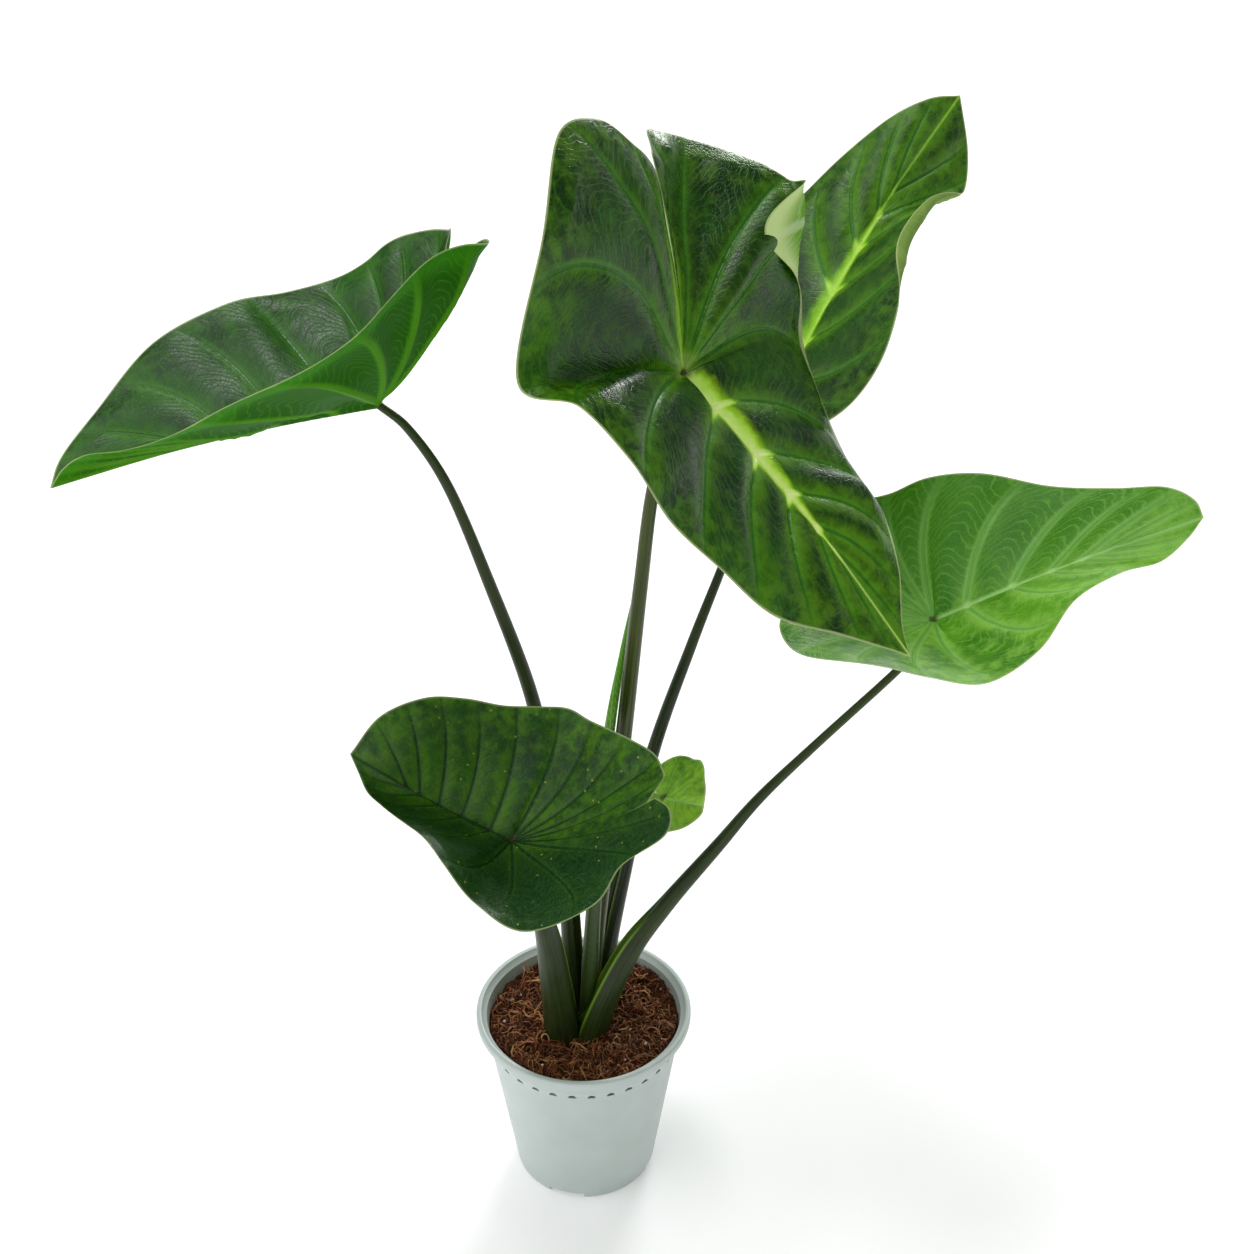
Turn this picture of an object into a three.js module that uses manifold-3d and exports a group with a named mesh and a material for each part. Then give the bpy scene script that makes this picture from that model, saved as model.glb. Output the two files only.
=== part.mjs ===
// Potted king of cup colocasia: six leaves on sheathed stalks and one leaf still rolled,
// standing in coir in a round nursery pot. Millimetres, +Z up. The origin is under the
// middle of the pot, +X points right and -Y points at the viewer.

import * as THREE from 'three';
import { mergeVertices } from 'three/addons/utils/BufferGeometryUtils.js';
import Module from 'manifold-3d';

const wasm = await Module();
wasm.setup();

// Clearance between pieces that touch.
const GAP = 0.3;

// Faces finer than this, left where cuts cross, are dropped.
const SLIVER = 0.02;

// Pot
const POT_HEIGHT = 155;
const RIM_RADIUS = 85;
const LIP_WIDTH = 4.5;
const LIP_DEPTH = 7;
const COLLAR_DEPTH = 20;
const COLLAR_STEP = 1.2;
const WALL = 1.6;
const WALL_FOOT_RADIUS = 57.8;
const FOOT_RADIUS = 54;
const FOOT_HEIGHT = 10;
const FOOT_RING = 3;
const FOOT_BULGE = 2.6;
const EDGE_ROUND = 2;
const LIP_ROUND = 1;
const FLOOR_UNDERSIDE = 7;
const FLOOR_THICKNESS = 2;
const FLOOR_FILLET = 1.6;
const HUB_RADIUS = 14;
const POT_SEGMENTS = 32;
const VENT_COUNT = 32;
const VENT_DEPTH = 24;
const VENT_RADIUS = 2.7;
const CUT_DEPTH = 12;
const NOTCH_COUNT = 4;
const NOTCH_WIDTH = 29;
const NOTCH_HEIGHT = 6.5;
const NOTCH_TURN = -105;
const DRAIN_COUNT = 8;
const DRAIN_RADIUS = 4;
const DRAIN_CIRCLE = 34;
const DRAIN_SIDES = 10;

// Soil
const SOIL_TOP = 142;
const SOIL_LUMP = 2.2;
const COARSE_SHARE = 0.6;
const SOIL_RINGS = 7;
const SOIL_SEGMENTS = POT_SEGMENTS;

// Leaves
const BLADE = 0.8;
const RIB_DEPTH = 3.2;
const RIB_LENGTH = 220;
const RIB_AT_JOINT = 0.3;
const RIB_AT_TIP = 0.1;
const RIB_GROWTH = 2.4;
const WAVE_HEIGHT = 2.5;
const WAVE_SPAN = 120;
const WAVES = 3.25;
const FADE_RATE = 1.6;
const LATERALS = 17;
const CURL_LATERALS = 30;
const SMALL_LATERALS = 10;
const SMALL_LENGTH = 100;
const FAN_START = 0.45;
const FOOT_REACH = 0.8;
const FOOT_SETBACK = 0.1;
const MITRE_LIMIT = 2;
const ROWS = [0, 0.08, 0.25, 0.46, 0.66, 0.84, 1];
const ROWS_BEFORE_FOLD = 4;
const LEAST_ARC = 10;
const LEAST_FLAP = 8;
const NOTCH_ACROSS = 0.1;

// Stalks
const STALK_SIDES = 12;
const STALK_STEPS = 15;
const TANGENT_STEP = 0.01;
const CHANNEL_DEPTH = 0.5;
const CHANNEL_LIP = 0.12;
const SHEATH_FADE = 0.12;
const BURIED = [0.04, 0.14];

// Half outline of a blade from its tip round to the corner where the notch between the lobes
// begins. Each point is a share along the blade (of its length ahead of the joint, of its
// lobe behind it), then a share of the half width. A leaf can state its own shares of the half
// width at the corner of its notch.
const OUTLINE = [
  [1, 0], [0.93, 0.07], [0.82, 0.21], [0.67, 0.42], [0.5, 0.63], [0.32, 0.82], [0.12, 0.96],
  [-0.1, 1], [-0.36, 0.97], [-0.62, 0.86], [-0.84, 0.68], [-0.97, 0.45], [-1, 0.26],
  [-0.9, NOTCH_ACROSS],
];

// Share of the way from the joint to that corner where the two halves of a blade part.
const NOTCH_SHARE = 0.4;

// Each leaf: the joint where blade meets stalk, the blade's heading, pitch and roll in
// degrees, its length, lobe and half widths, and its arch. rise gives how steeply the blade
// climbs from the joint towards evenly spaced points of the margin, tip first, in degrees,
// and reach what is added there to the outline, in percent. The stalk is its path, its
// widths at the bottom and the top, how soon it narrows, and the share of it that is a sheath.
const LEAVES = [
  {
    name: 'left',
    joint: [-126, -0.5, 670.4], heading: 182.6, pitch: -11, roll: -15.4,
    length: 223, lobe: 125, halfWidth: [119, 123], arch: 4.6, bow: -0.05, open: [0, 24],
    rise: [[-3, 2, 5, 15, 29, 39, 41, 46], [-3, 7, 31, 39, 45, 47, 48, 50]],
    reach: [[0, 1, 2, 1, 2, 5, 2, -1], [0, 5, 5, 2, 2, 2, -1, -2]],
    stalk: [
      [-8, 11, 116], [-8, 12, 178], [-12, 10, 284], [-21, 8, 362], [-34.5, 6, 447],
      [-60, 4, 536.5], [-84, 2, 610], [-107, 0, 652], [-126, -0.5, 670.4],
    ],
    stalkWidth: [19, 5.4], taper: 1.5, sheath: 0.35, color: 0x3a7a10,
  },
  {
    name: 'centre',
    joint: [67.7, -69, 718.5], heading: -29, pitch: -39, roll: 25.6,
    length: 216, lobe: 143.5, halfWidth: [137, 139.5], arch: 5, bow: 0.04, open: [0, 0],
    rise: [
      [-4, -2, 4, 10, 12, 16, 24, 33, 54, 46, 35, 33, 32, 34],
      [-4, -6, -10, -17, -20, -20, -13, -13, -21, 5, 19, 27, 32, 34],
    ],
    reach: [
      [0, -1, -2, -2, -1, 0, 1, 2, 4, 6, 8, 4, 1, 0],
      [0, 1, 1, 1, 1, 0, -1, -2, -1, 5, 13, 4, -3, -3],
    ],
    curl: { side: 0, from: 0.37, to: 0.665, skew: 1.2, radius: 6, turn: 170, flap: 24 },
    stalk: [
      [3, 7, 116], [6, 5, 180], [14, -3, 270], [23, -15, 345], [32, -26, 427], [43, -44, 557],
      [50, -54.5, 631], [59.5, -62.5, 680], [67.7, -69, 718.5],
    ],
    stalkWidth: [17, 7.4], taper: 1.5, sheath: 0.68, color: 0x245a1c,
  },
  {
    name: 'back',
    joint: [147.2, 122, 633.6], heading: 38, pitch: 37.5, roll: 7.4,
    length: 242, lobe: 108, halfWidth: [115.5, 117.5], arch: 7.4, bow: 0.03, open: [0, 0],
    rise: [[10, 17, 20, 19, 18, 19, 20, 20], [10, 0, 18, 20, 18, 20, 21, 20]],
    reach: [[0, 2, 0, 0, 0, 0, 0, 0], [0, -6, -3, 1, 1, 0, 0, 0]],
    curl: { side: 1, from: 0.12, to: 0.43, skew: 1, radius: 4, turn: 160, flap: 3 },
    stalk: [
      [15, 17, 116], [15, 15, 180], [30.5, 27, 265], [54, 46, 368], [82, 63.5, 451],
      [103, 81, 504], [118.5, 94, 545], [134, 107, 587.5], [147.2, 122, 633.6],
    ],
    stalkWidth: [26, 6], taper: 3.3, sheath: 0.4, color: 0x245a1c,
  },
  {
    name: 'right',
    joint: [246.6, 0.3, 509.3], heading: -1.4, pitch: 16.3, roll: 1,
    length: 190, lobe: 109.4, halfWidth: [102.6, 103], arch: 3.2, bow: -0.03, open: [0, 0],
    rise: [[9, 15, 19, 37, 37, 36, 35, 29], [9, 6, 14, 2, 13, 18, 19, 23]],
    reach: [[0, 12, 13, 8, 1, -2, -2, 0], [0, -1, -2, 0, 0, 0, -1, -1]],
    stalk: [
      [8, -13, 116], [9.5, -14, 150], [34.5, -12, 218], [63.5, -10, 266], [102, -8, 321],
      [131.5, -7, 364], [171, -4.5, 410], [222.5, -2, 468], [238.4, -1, 490],
      [246.6, 0.3, 509.3],
    ],
    stalkWidth: [31, 5.6], taper: 3, sheath: 0.36, color: 0x6f9a3a,
  },
  {
    name: 'front',
    joint: [-46, -73.3, 375], heading: 157, pitch: 18.5, roll: -6,
    length: 131, lobe: 131, halfWidth: [92.5, 98], arch: -2.6, bow: -0.05, open: [0, 0],
    notch: [0.06, 0.02],
    rise: [
      [-1, -4, -5, 2, 9, 15, 15, 8, 10, 23, 34, 42, 44, 44],
      [-1, 28, 41, 52, 55, 55, 52, 47],
    ],
    reach: [
      [0, -2, -3, -3, -3, -2, 0, -3, 10, 10, -8, 3, 5, 5],
      [0, 6, 6, 5, 0, -6, -8, -4],
    ],
    stalk: [
      [-15, -14, 116], [-18, -17, 158], [-22.5, -34, 232], [-26, -46, 274], [-31, -54, 307],
      [-38.5, -64, 342], [-46, -73.3, 375],
    ],
    stalkWidth: [32, 7], taper: 1.5, sheath: 0.62, color: 0x1f4f24,
  },
  {
    name: 'small',
    joint: [62, 2, 356.5], heading: -37, pitch: -3, roll: -17.5,
    length: 40, lobe: 20, halfWidth: [42, 36], arch: 0, bow: -0.04, open: [0, 0],
    rise: [[21, 17, 15, 7, 0, 5, 13, 17], [21, 6, -2, 2, 9, 14, 18, 19]],
    reach: [[0, 1, 2, 1, 0, 0, 0, 0], [0, 1, 2, 1, 1, 0, 0, 0]],
    stalk: [
      [3, 27, 116], [4, 25, 180], [11, 16, 235], [22, 9, 285], [38, 5, 330], [62, 2, 356.5],
    ],
    stalkWidth: [10, 4.4], taper: 1.5, sheath: 0.3, color: 0x7fa62c,
  },
];

// The leaf still rolled: a slim spindle beside the centre stalk.
const NEW_LEAF_PATH = [
  [-2, -2, 116], [4.5, -6, 180], [8, -12, 255], [12, -17, 345], [19.5, -21.5, 435],
  [28, -26, 497], [34, -31, 540],
];
const NEW_LEAF_WIDTHS = [7, 13, 12, 10, 8, 4.5, 1.2];

const LEAF_GREEN = { roughness: 0.35, metalness: 0 };
const STALK_GREEN = { color: 0x2c3324, roughness: 0.45, metalness: 0 };

// Value at share t of a smooth curve through evenly spaced numbers.
function smooth(values, t) {
  const last = values.length - 1;
  const place = Math.min(Math.max(t, 0), 1) * last;
  const i = Math.min(Math.floor(place), last - 1);
  const f = place - i;
  const b = values[i];
  const c = values[i + 1];
  const a = i > 0 ? values[i - 1] : 2 * b - c;
  const d = i < last - 1 ? values[i + 2] : 2 * c - b;
  const bend = 2 * a - 5 * b + 4 * c - d + (3 * b - a - 3 * c + d) * f;
  return b + 0.5 * f * (c - a + f * bend);
}

// Point at share t of a smooth curve through [x, y, z] points.
function smoothPoint(points, t) {
  const axis = (k) => smooth(points.map((p) => p[k]), t);
  return new THREE.Vector3(axis(0), axis(1), axis(2));
}

// Closed mesh as a solid that can be joined and cut.
function toSolid(geometry) {
  geometry.deleteAttribute('normal');
  geometry.deleteAttribute('uv');
  const merged = mergeVertices(geometry, 1e-4);
  const vertProperties = new Float32Array(merged.attributes.position.array);
  const triVerts = new Uint32Array(merged.index.array);
  return new wasm.Manifold(new wasm.Mesh({ numProp: 3, vertProperties, triVerts }));
}

function solidFromFaces(points, faces) {
  const geometry = new THREE.BufferGeometry();
  const places = points.flatMap((p) => [p.x, p.y, p.z]);
  geometry.setAttribute('position', new THREE.Float32BufferAttribute(places, 3));
  geometry.setIndex(faces.flat());
  return toSolid(geometry);
}

function geometryFromSolid(solid) {
  const { vertProperties, triVerts } = solid.getMesh();
  const geometry = new THREE.BufferGeometry();
  geometry.setAttribute('position', new THREE.BufferAttribute(vertProperties, 3));
  geometry.setIndex(new THREE.BufferAttribute(triVerts, 1));
  return geometry;
}

// The largest of the separate bodies in a solid. Points that cuts left in one place are
// joined first, so that no tiny bubble stays shut in.
function largestBody(solid) {
  const bodies = toSolid(geometryFromSolid(solid.simplify(SLIVER))).decompose();
  return bodies.reduce((best, body) => (body.volume() > best.volume() ? body : best));
}

function meshFromSolid(name, solid, look) {
  const geometry = geometryFromSolid(solid);
  geometry.computeVertexNormals();
  const mesh = new THREE.Mesh(geometry, new THREE.MeshStandardMaterial(look));
  mesh.name = name;
  return mesh;
}

// Solid of revolution about +Z from a closed [radius, height] profile.
function turned(profile, segments) {
  const points = profile.map(([radius, height]) => new THREE.Vector2(radius, height));
  const geometry = new THREE.LatheGeometry(points, segments);
  geometry.rotateX(Math.PI / 2);
  return toSolid(geometry);
}

// Inner radius of the pot's wall at a height.
function wallInside(height) {
  const top = RIM_RADIUS - LIP_WIDTH - COLLAR_STEP - WALL;
  const bottom = WALL_FOOT_RADIUS - WALL;
  const share = (height - FOOT_HEIGHT) / (POT_HEIGHT - FOOT_HEIGHT);
  return bottom + (top - bottom) * share;
}

function potBody() {
  const floorTop = FLOOR_UNDERSIDE + FLOOR_THICKNESS;
  const lipBottom = POT_HEIGHT - LIP_DEPTH;
  const collarBottom = POT_HEIGHT - COLLAR_DEPTH;
  const insideBend = FOOT_HEIGHT + EDGE_ROUND;
  const wallOutside = (height) => wallInside(height) + WALL;
  const profile = [
    [0, 0],
    [HUB_RADIUS, 0],
    [HUB_RADIUS + EDGE_ROUND, FLOOR_UNDERSIDE],
    [FOOT_RADIUS - FOOT_RING - EDGE_ROUND / 2, FLOOR_UNDERSIDE],
    [FOOT_RADIUS - FOOT_RING, 0],
    [FOOT_RADIUS, 0],
    [FOOT_RADIUS + FOOT_BULGE, FOOT_HEIGHT / 3],
    [WALL_FOOT_RADIUS, FOOT_HEIGHT],
    [wallOutside(collarBottom), collarBottom],
    [wallOutside(collarBottom) + COLLAR_STEP, collarBottom + EDGE_ROUND],
    [wallOutside(lipBottom) + COLLAR_STEP, lipBottom],
    [RIM_RADIUS - LIP_ROUND, lipBottom],
    [RIM_RADIUS, lipBottom + EDGE_ROUND],
    [RIM_RADIUS, POT_HEIGHT - EDGE_ROUND],
    [RIM_RADIUS - LIP_ROUND, POT_HEIGHT],
    [RIM_RADIUS - LIP_WIDTH + LIP_ROUND / 2, POT_HEIGHT],
    [wallInside(lipBottom), lipBottom],
    [wallInside(insideBend), insideBend],
    [wallInside(FOOT_HEIGHT) - FLOOR_FILLET, floorTop],
    [0, floorTop],
  ];
  return turned(profile, POT_SEGMENTS);
}

// D-shaped air hole through the collar, flat side down.
function ventCutter(turn) {
  const shape = new THREE.Shape();
  shape.absarc(0, 0, VENT_RADIUS, 0, Math.PI, false);
  shape.closePath();
  const options = { depth: CUT_DEPTH, bevelEnabled: false, curveSegments: 4 };
  const geometry = new THREE.ExtrudeGeometry(shape, options);
  geometry.rotateX(Math.PI / 2);
  geometry.rotateZ(Math.PI / 2);
  const height = POT_HEIGHT - VENT_DEPTH;
  geometry.translate(wallInside(height) - CUT_DEPTH / 2, 0, height);
  geometry.rotateZ(turn);
  return toSolid(geometry);
}

// Box that cuts one drainage notch out of the foot ring.
function notchCutter(turn) {
  const geometry = new THREE.BoxGeometry(CUT_DEPTH + FOOT_RING, NOTCH_WIDTH, 2 * NOTCH_HEIGHT);
  geometry.translate(FOOT_RADIUS, 0, 0);
  geometry.rotateZ(turn);
  return toSolid(geometry);
}

function drainCutter(turn) {
  const geometry = new THREE.CylinderGeometry(DRAIN_RADIUS, DRAIN_RADIUS, CUT_DEPTH, DRAIN_SIDES);
  geometry.rotateX(Math.PI / 2);
  geometry.translate(DRAIN_CIRCLE, 0, FLOOR_UNDERSIDE + FLOOR_THICKNESS / 2);
  geometry.rotateZ(turn);
  return toSolid(geometry);
}

// A solid cut by count cutters spaced evenly round +Z, starting at a turn in degrees.
function cutRound(solid, cutter, count, startTurn) {
  let rest = solid;
  for (let i = 0; i < count; i += 1) {
    const turn = THREE.MathUtils.degToRad(startTurn + (360 * i) / count);
    rest = rest.subtract(cutter(turn));
  }
  return rest;
}

function makePot() {
  const vented = cutRound(potBody(), ventCutter, VENT_COUNT, 180 / VENT_COUNT);
  const notched = cutRound(vented, notchCutter, NOTCH_COUNT, NOTCH_TURN);
  return cutRound(notched, drainCutter, DRAIN_COUNT, 0);
}

// Height of the lumpy soil surface.
function soilHeight(x, y) {
  const coarse = Math.sin(x / 9 + 1.3) * Math.cos(y / 11 + 0.4);
  const fine = Math.sin(x / 4.3 + y / 6.1) * Math.cos(y / 5.2 - x / 7.7);
  return SOIL_TOP + SOIL_LUMP * (COARSE_SHARE * coarse + (1 - COARSE_SHARE) * fine);
}

function makeSoil() {
  const edge = wallInside(SOIL_TOP) - 2 * GAP;
  const bottom = FLOOR_UNDERSIDE + FLOOR_THICKNESS + GAP;
  const corner = FOOT_HEIGHT + EDGE_ROUND;
  const points = [new THREE.Vector3(0, 0, soilHeight(0, 0))];
  const faces = [];
  const addRing = (radius, heightAt) => {
    const first = points.length;
    for (let i = 0; i < SOIL_SEGMENTS; i += 1) {
      const angle = (2 * Math.PI * i) / SOIL_SEGMENTS;
      const x = radius * Math.cos(angle);
      const y = radius * Math.sin(angle);
      points.push(new THREE.Vector3(x, y, heightAt(x, y)));
    }
    return first;
  };
  const rings = [];
  for (let ring = 1; ring <= SOIL_RINGS; ring += 1) {
    rings.push(addRing((edge * ring) / SOIL_RINGS, soilHeight));
  }
  rings.push(addRing(wallInside(corner) - GAP, () => corner));
  rings.push(addRing(wallInside(FOOT_HEIGHT) - FLOOR_FILLET - GAP, () => bottom));
  const middle = points.push(new THREE.Vector3(0, 0, bottom)) - 1;
  for (let i = 0; i < SOIL_SEGMENTS; i += 1) {
    const j = (i + 1) % SOIL_SEGMENTS;
    faces.push([0, rings[0] + i, rings[0] + j]);
    for (let ring = 1; ring < rings.length; ring += 1) {
      const inner = rings[ring - 1];
      const outer = rings[ring];
      faces.push([inner + i, outer + i, outer + j], [inner + i, outer + j, inner + j]);
    }
    faces.push([middle, rings[rings.length - 1] + j, rings[rings.length - 1] + i]);
  }
  return solidFromFaces(points, faces);
}

// Forward, leftward and upward directions of a blade.
function bladeAxes(leaf) {
  const heading = THREE.MathUtils.degToRad(leaf.heading);
  const pitch = THREE.MathUtils.degToRad(leaf.pitch);
  const level = new THREE.Vector3(Math.cos(heading), Math.sin(heading), 0);
  const up = new THREE.Vector3(0, 0, 1);
  const forward = level.clone().multiplyScalar(Math.cos(pitch));
  forward.addScaledVector(up, Math.sin(pitch));
  const normal = level.clone().multiplyScalar(-Math.sin(pitch));
  normal.addScaledVector(up, Math.cos(pitch));
  normal.applyAxisAngle(forward, THREE.MathUtils.degToRad(-leaf.roll));
  const left = normal.clone().cross(forward);
  return { forward, left, normal };
}

// Control points of one half's margin, in the blade's own axes. The lobes turn apart by the
// open angle, which fades towards the tip.
function marginPoints(leaf, side) {
  const atNotch = leaf.notch ? leaf.notch[side] : NOTCH_ACROSS;
  return OUTLINE.map(([alongShare, acrossShare], i) => {
    const u = i / (OUTLINE.length - 1);
    const along = alongShare * (alongShare >= 0 ? leaf.length : leaf.lobe);
    const across = (u < 1 ? acrossShare : atNotch) * leaf.halfWidth[side];
    const flat = Math.hypot(along, across);
    const straight = Math.atan2(across, along);
    const openShare = ((1 - Math.cos(straight)) / 2) ** 2;
    const angle = straight - THREE.MathUtils.degToRad(leaf.open[side]) * openShare;
    const rise = THREE.MathUtils.degToRad(smooth(leaf.rise[side], u));
    const reach = flat * (1 + smooth(leaf.reach[side], u) / 100);
    const sign = side === 0 ? 1 : -1;
    return [
      reach * Math.cos(rise) * Math.cos(angle),
      sign * reach * Math.cos(rise) * Math.sin(angle),
      reach * Math.sin(rise),
    ];
  });
}

// Point of the arched midrib at a share of its length, in the blade's own axes.
function midribPoint(leaf, tip, share) {
  const top = new THREE.Vector3(tip[0] / 2, tip[1] / 2, tip[2] / 2 + 2 * leaf.arch);
  const end = new THREE.Vector3(...tip);
  return top.multiplyScalar(2 * share * (1 - share)).addScaledVector(end, share * share);
}

const NO_CURL = { from: 1, to: 2, skew: 1, radius: 1, turn: 0, flap: 0 };

// Fades to nothing at the tip.
function fade(u) {
  return 1 - Math.max(1 - FADE_RATE * u, 0) ** 4;
}

// The fold of a blade at one lateral. The lateral is flat at first, rolls up and inward along
// an arc of some radius, then runs on straight as a flap.
function foldAt(leaf, side, u, span) {
  const curl = leaf.curl && leaf.curl.side === side ? leaf.curl : NO_CURL;
  const inCurl = Math.min(Math.max((u - curl.from) / (curl.to - curl.from), 0), 1);
  const amount = Math.sin(Math.PI * inCurl ** curl.skew) ** 2;
  const turn = THREE.MathUtils.degToRad(curl.turn) * amount;
  const { radius } = curl;
  const flat = span - radius * Math.sin(Math.min(turn, Math.PI / 2));
  return { radius, turn, flat, arc: radius * turn, flap: curl.flap * amount ** 2 };
}

// How far along a lateral, and how high off it, the blade lies at share v of the lateral.
function lateralProfile(leaf, side, u, v, span) {
  const { radius, turn, flat, arc, flap } = foldAt(leaf, side, u, span);
  const run = v * (flat + arc + flap);
  const rolled = Math.min(Math.max(run - flat, 0) / radius, turn);
  const past = Math.max(run - flat - arc, 0);
  const wave = WAVE_HEIGHT * (span / WAVE_SPAN) * Math.sin(2 * Math.PI * WAVES * u + side) * v ** 3;
  const bow = 4 * leaf.bow * span * v * (1 - v);
  return [
    Math.min(run, flat) + radius * Math.sin(rolled) + past * Math.cos(turn),
    (bow + wave) * fade(u) + radius * (1 - Math.cos(rolled)) + past * Math.sin(turn),
  ];
}

// Shares of a lateral where the rows of points lie. A blade with a curl has rows that follow
// the arc and the flap of its fold.
function rowShares(leaf, side, u, span) {
  if (!leaf.curl) return ROWS;
  const fold = foldAt(leaf, side, u, span);
  const whole = fold.flat + fold.arc + fold.flap;
  const arc = Math.max(fold.arc, LEAST_ARC) / whole;
  const flap = Math.max(fold.flap, LEAST_FLAP) / whole;
  const start = 1 - flap - arc;
  const before = ROWS.slice(0, ROWS_BEFORE_FOLD);
  const middle = (before[ROWS_BEFORE_FOLD - 1] + start) / 2;
  const bends = [0, 0.25, 0.5, 0.75, 1].map((share) => start + share * arc);
  return [...before, middle, ...bends, 1 - flap / 2, 1];
}

// The middle surface of a blade: its place at (side, u, v) and its rows at (side, u). Side 0 is
// left, u runs along the margin from the tip to the corner of the notch, and v from the midrib
// out to the margin. Behind the joint the laterals fan out from it.
function bladeSurface(leaf) {
  const { forward, left, normal } = bladeAxes(leaf);
  const joint = new THREE.Vector3(...leaf.joint);
  const margins = [marginPoints(leaf, 0), marginPoints(leaf, 1)];
  const alongShares = OUTLINE.map(([alongShare]) => alongShare);
  const up = new THREE.Vector3(0, 0, 1);
  const lateral = (side, u) => {
    const share = Math.max(FOOT_REACH * smooth(alongShares, u) - FOOT_SETBACK, 0);
    const root = midribPoint(leaf, margins[0][0], share);
    const chord = smoothPoint(margins[side], u).sub(root);
    return { root, chord, span: chord.length() };
  };
  const place = (side, u, v) => {
    const { root, chord, span } = lateral(side, u);
    chord.normalize();
    const lift = up.clone().addScaledVector(chord, -chord.z).normalize();
    const [along, height] = lateralProfile(leaf, side, u, v, span);
    const local = root.addScaledVector(chord, along).addScaledVector(lift, height);
    const spot = joint.clone().addScaledVector(forward, local.x);
    return spot.addScaledVector(left, local.y).addScaledVector(normal, local.z);
  };
  const rows = (side, u) => rowShares(leaf, side, u, lateral(side, u).span);
  return { place, rows };
}

// Point of the line where the halves meet behind the joint and, past NOTCH_SHARE, of one
// half's edge in the notch, which opens out to the corner.
function notchPoint(place, side, v) {
  const own = place(side, 1, v);
  const middle = own.clone().lerp(place(1 - side, 1, v), 0.5);
  return middle.lerp(own, Math.max((v - NOTCH_SHARE) / (1 - NOTCH_SHARE), 0));
}

// Points and triangles of a blade's middle surface, and how much thicker the blade is at
// each point on its underside. Both halves share the midrib and the line behind the joint,
// and the joint is one point.
function bladeSheet(leaf) {
  const { place, rows } = bladeSurface(leaf);
  const largeLaterals = leaf.curl ? CURL_LATERALS : LATERALS;
  const laterals = leaf.length < SMALL_LENGTH ? SMALL_LATERALS : largeLaterals;
  const fullRib = RIB_DEPTH * (leaf.length / RIB_LENGTH);
  const points = [new THREE.Vector3(...leaf.joint)];
  const ribs = [RIB_AT_JOINT * RIB_DEPTH];
  const faces = [];
  const addPoint = (spot, rib) => {
    ribs.push(rib);
    return points.push(spot) - 1;
  };
  const addLateralPoint = (side, u, v) => {
    if (v === 0 && u >= FAN_START) return 0;
    const rib = v === 0 ? fullRib * Math.min(RIB_AT_TIP + RIB_GROWTH * u, 1) : 0;
    return addPoint(place(side, u, v), rib);
  };
  const addFace = (a, b, c, side) => {
    if (a === b || b === c || c === a) return;
    faces.push(side === 0 ? [a, b, c] : [a, c, b]);
  };
  let left = null;
  for (const side of [0, 1]) {
    const grid = [];
    for (let i = 0; i <= laterals; i += 1) {
      const shared = (v) => side === 1 && (v === 0 || i === 0);
      const u = i / laterals;
      const shares = rows(side, u);
      grid.push(shares.map((v, k) => (shared(v) ? left[i][k] : addLateralPoint(side, u, v))));
    }
    grid.push(rows(side, 1).map((v, k) => {
      if (v === 0) return 0;
      if (v === 1) return grid[laterals][k];
      if (side === 1 && v <= NOTCH_SHARE) return left[laterals + 1][k];
      return addPoint(notchPoint(place, side, v), 0);
    }));
    for (let i = 0; i <= laterals; i += 1) {
      for (let k = 0; k < grid[i].length - 1; k += 1) {
        const [a, b] = [grid[i][k], grid[i][k + 1]];
        const [c, d] = [grid[i + 1][k], grid[i + 1][k + 1]];
        addFace(a, b, d, side);
        addFace(a, d, c, side);
      }
    }
    left = grid;
  }
  return { points, faces, ribs };
}

// Direction at each point that moves every triangle round it outward by about its length.
function pointNormals(points, faces) {
  const normals = points.map(() => new THREE.Vector3());
  const flat = [];
  const edge = (from, to) => points[to].clone().sub(points[from]);
  for (const [a, b, c] of faces) {
    const normal = edge(a, b).cross(edge(a, c)).normalize();
    flat.push(normal);
    for (const [i, j, k] of [[a, b, c], [b, c, a], [c, a, b]]) {
      normals[i].addScaledVector(normal, edge(i, j).angleTo(edge(i, k)));
    }
  }
  normals.forEach((normal) => normal.normalize());
  const least = normals.map(() => 1);
  faces.forEach((face, n) => {
    for (const i of face) least[i] = Math.min(least[i], normals[i].dot(flat[n]));
  });
  return normals.map((normal, i) => normal.divideScalar(Math.max(least[i], 1 / MITRE_LIMIT)));
}

// Solid blade, grown on every side by a margin so that it can also cut a stalk.
function makeBlade(leaf, grow) {
  const { points, faces, ribs } = bladeSheet(leaf);
  const normals = pointNormals(points, faces);
  const half = BLADE / 2 + grow;
  const upper = points.map((point, i) => point.clone().addScaledVector(normals[i], half));
  const lower = points.map((point, i) => point.clone().addScaledVector(normals[i], -half - ribs[i]));
  const count = points.length;
  const solidFaces = [];
  const edges = new Set();
  for (const [a, b, c] of faces) {
    solidFaces.push([a, b, c], [count + a, count + c, count + b]);
    for (const [from, to] of [[a, b], [b, c], [c, a]]) edges.add(`${from} ${to}`);
  }
  for (const edge of edges) {
    const [from, to] = edge.split(' ').map(Number);
    if (edges.has(`${to} ${from}`)) continue;
    solidFaces.push([to, from, count + from], [to, count + from, count + to]);
  }
  return solidFromFaces([...upper, ...lower], solidFaces);
}

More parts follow.
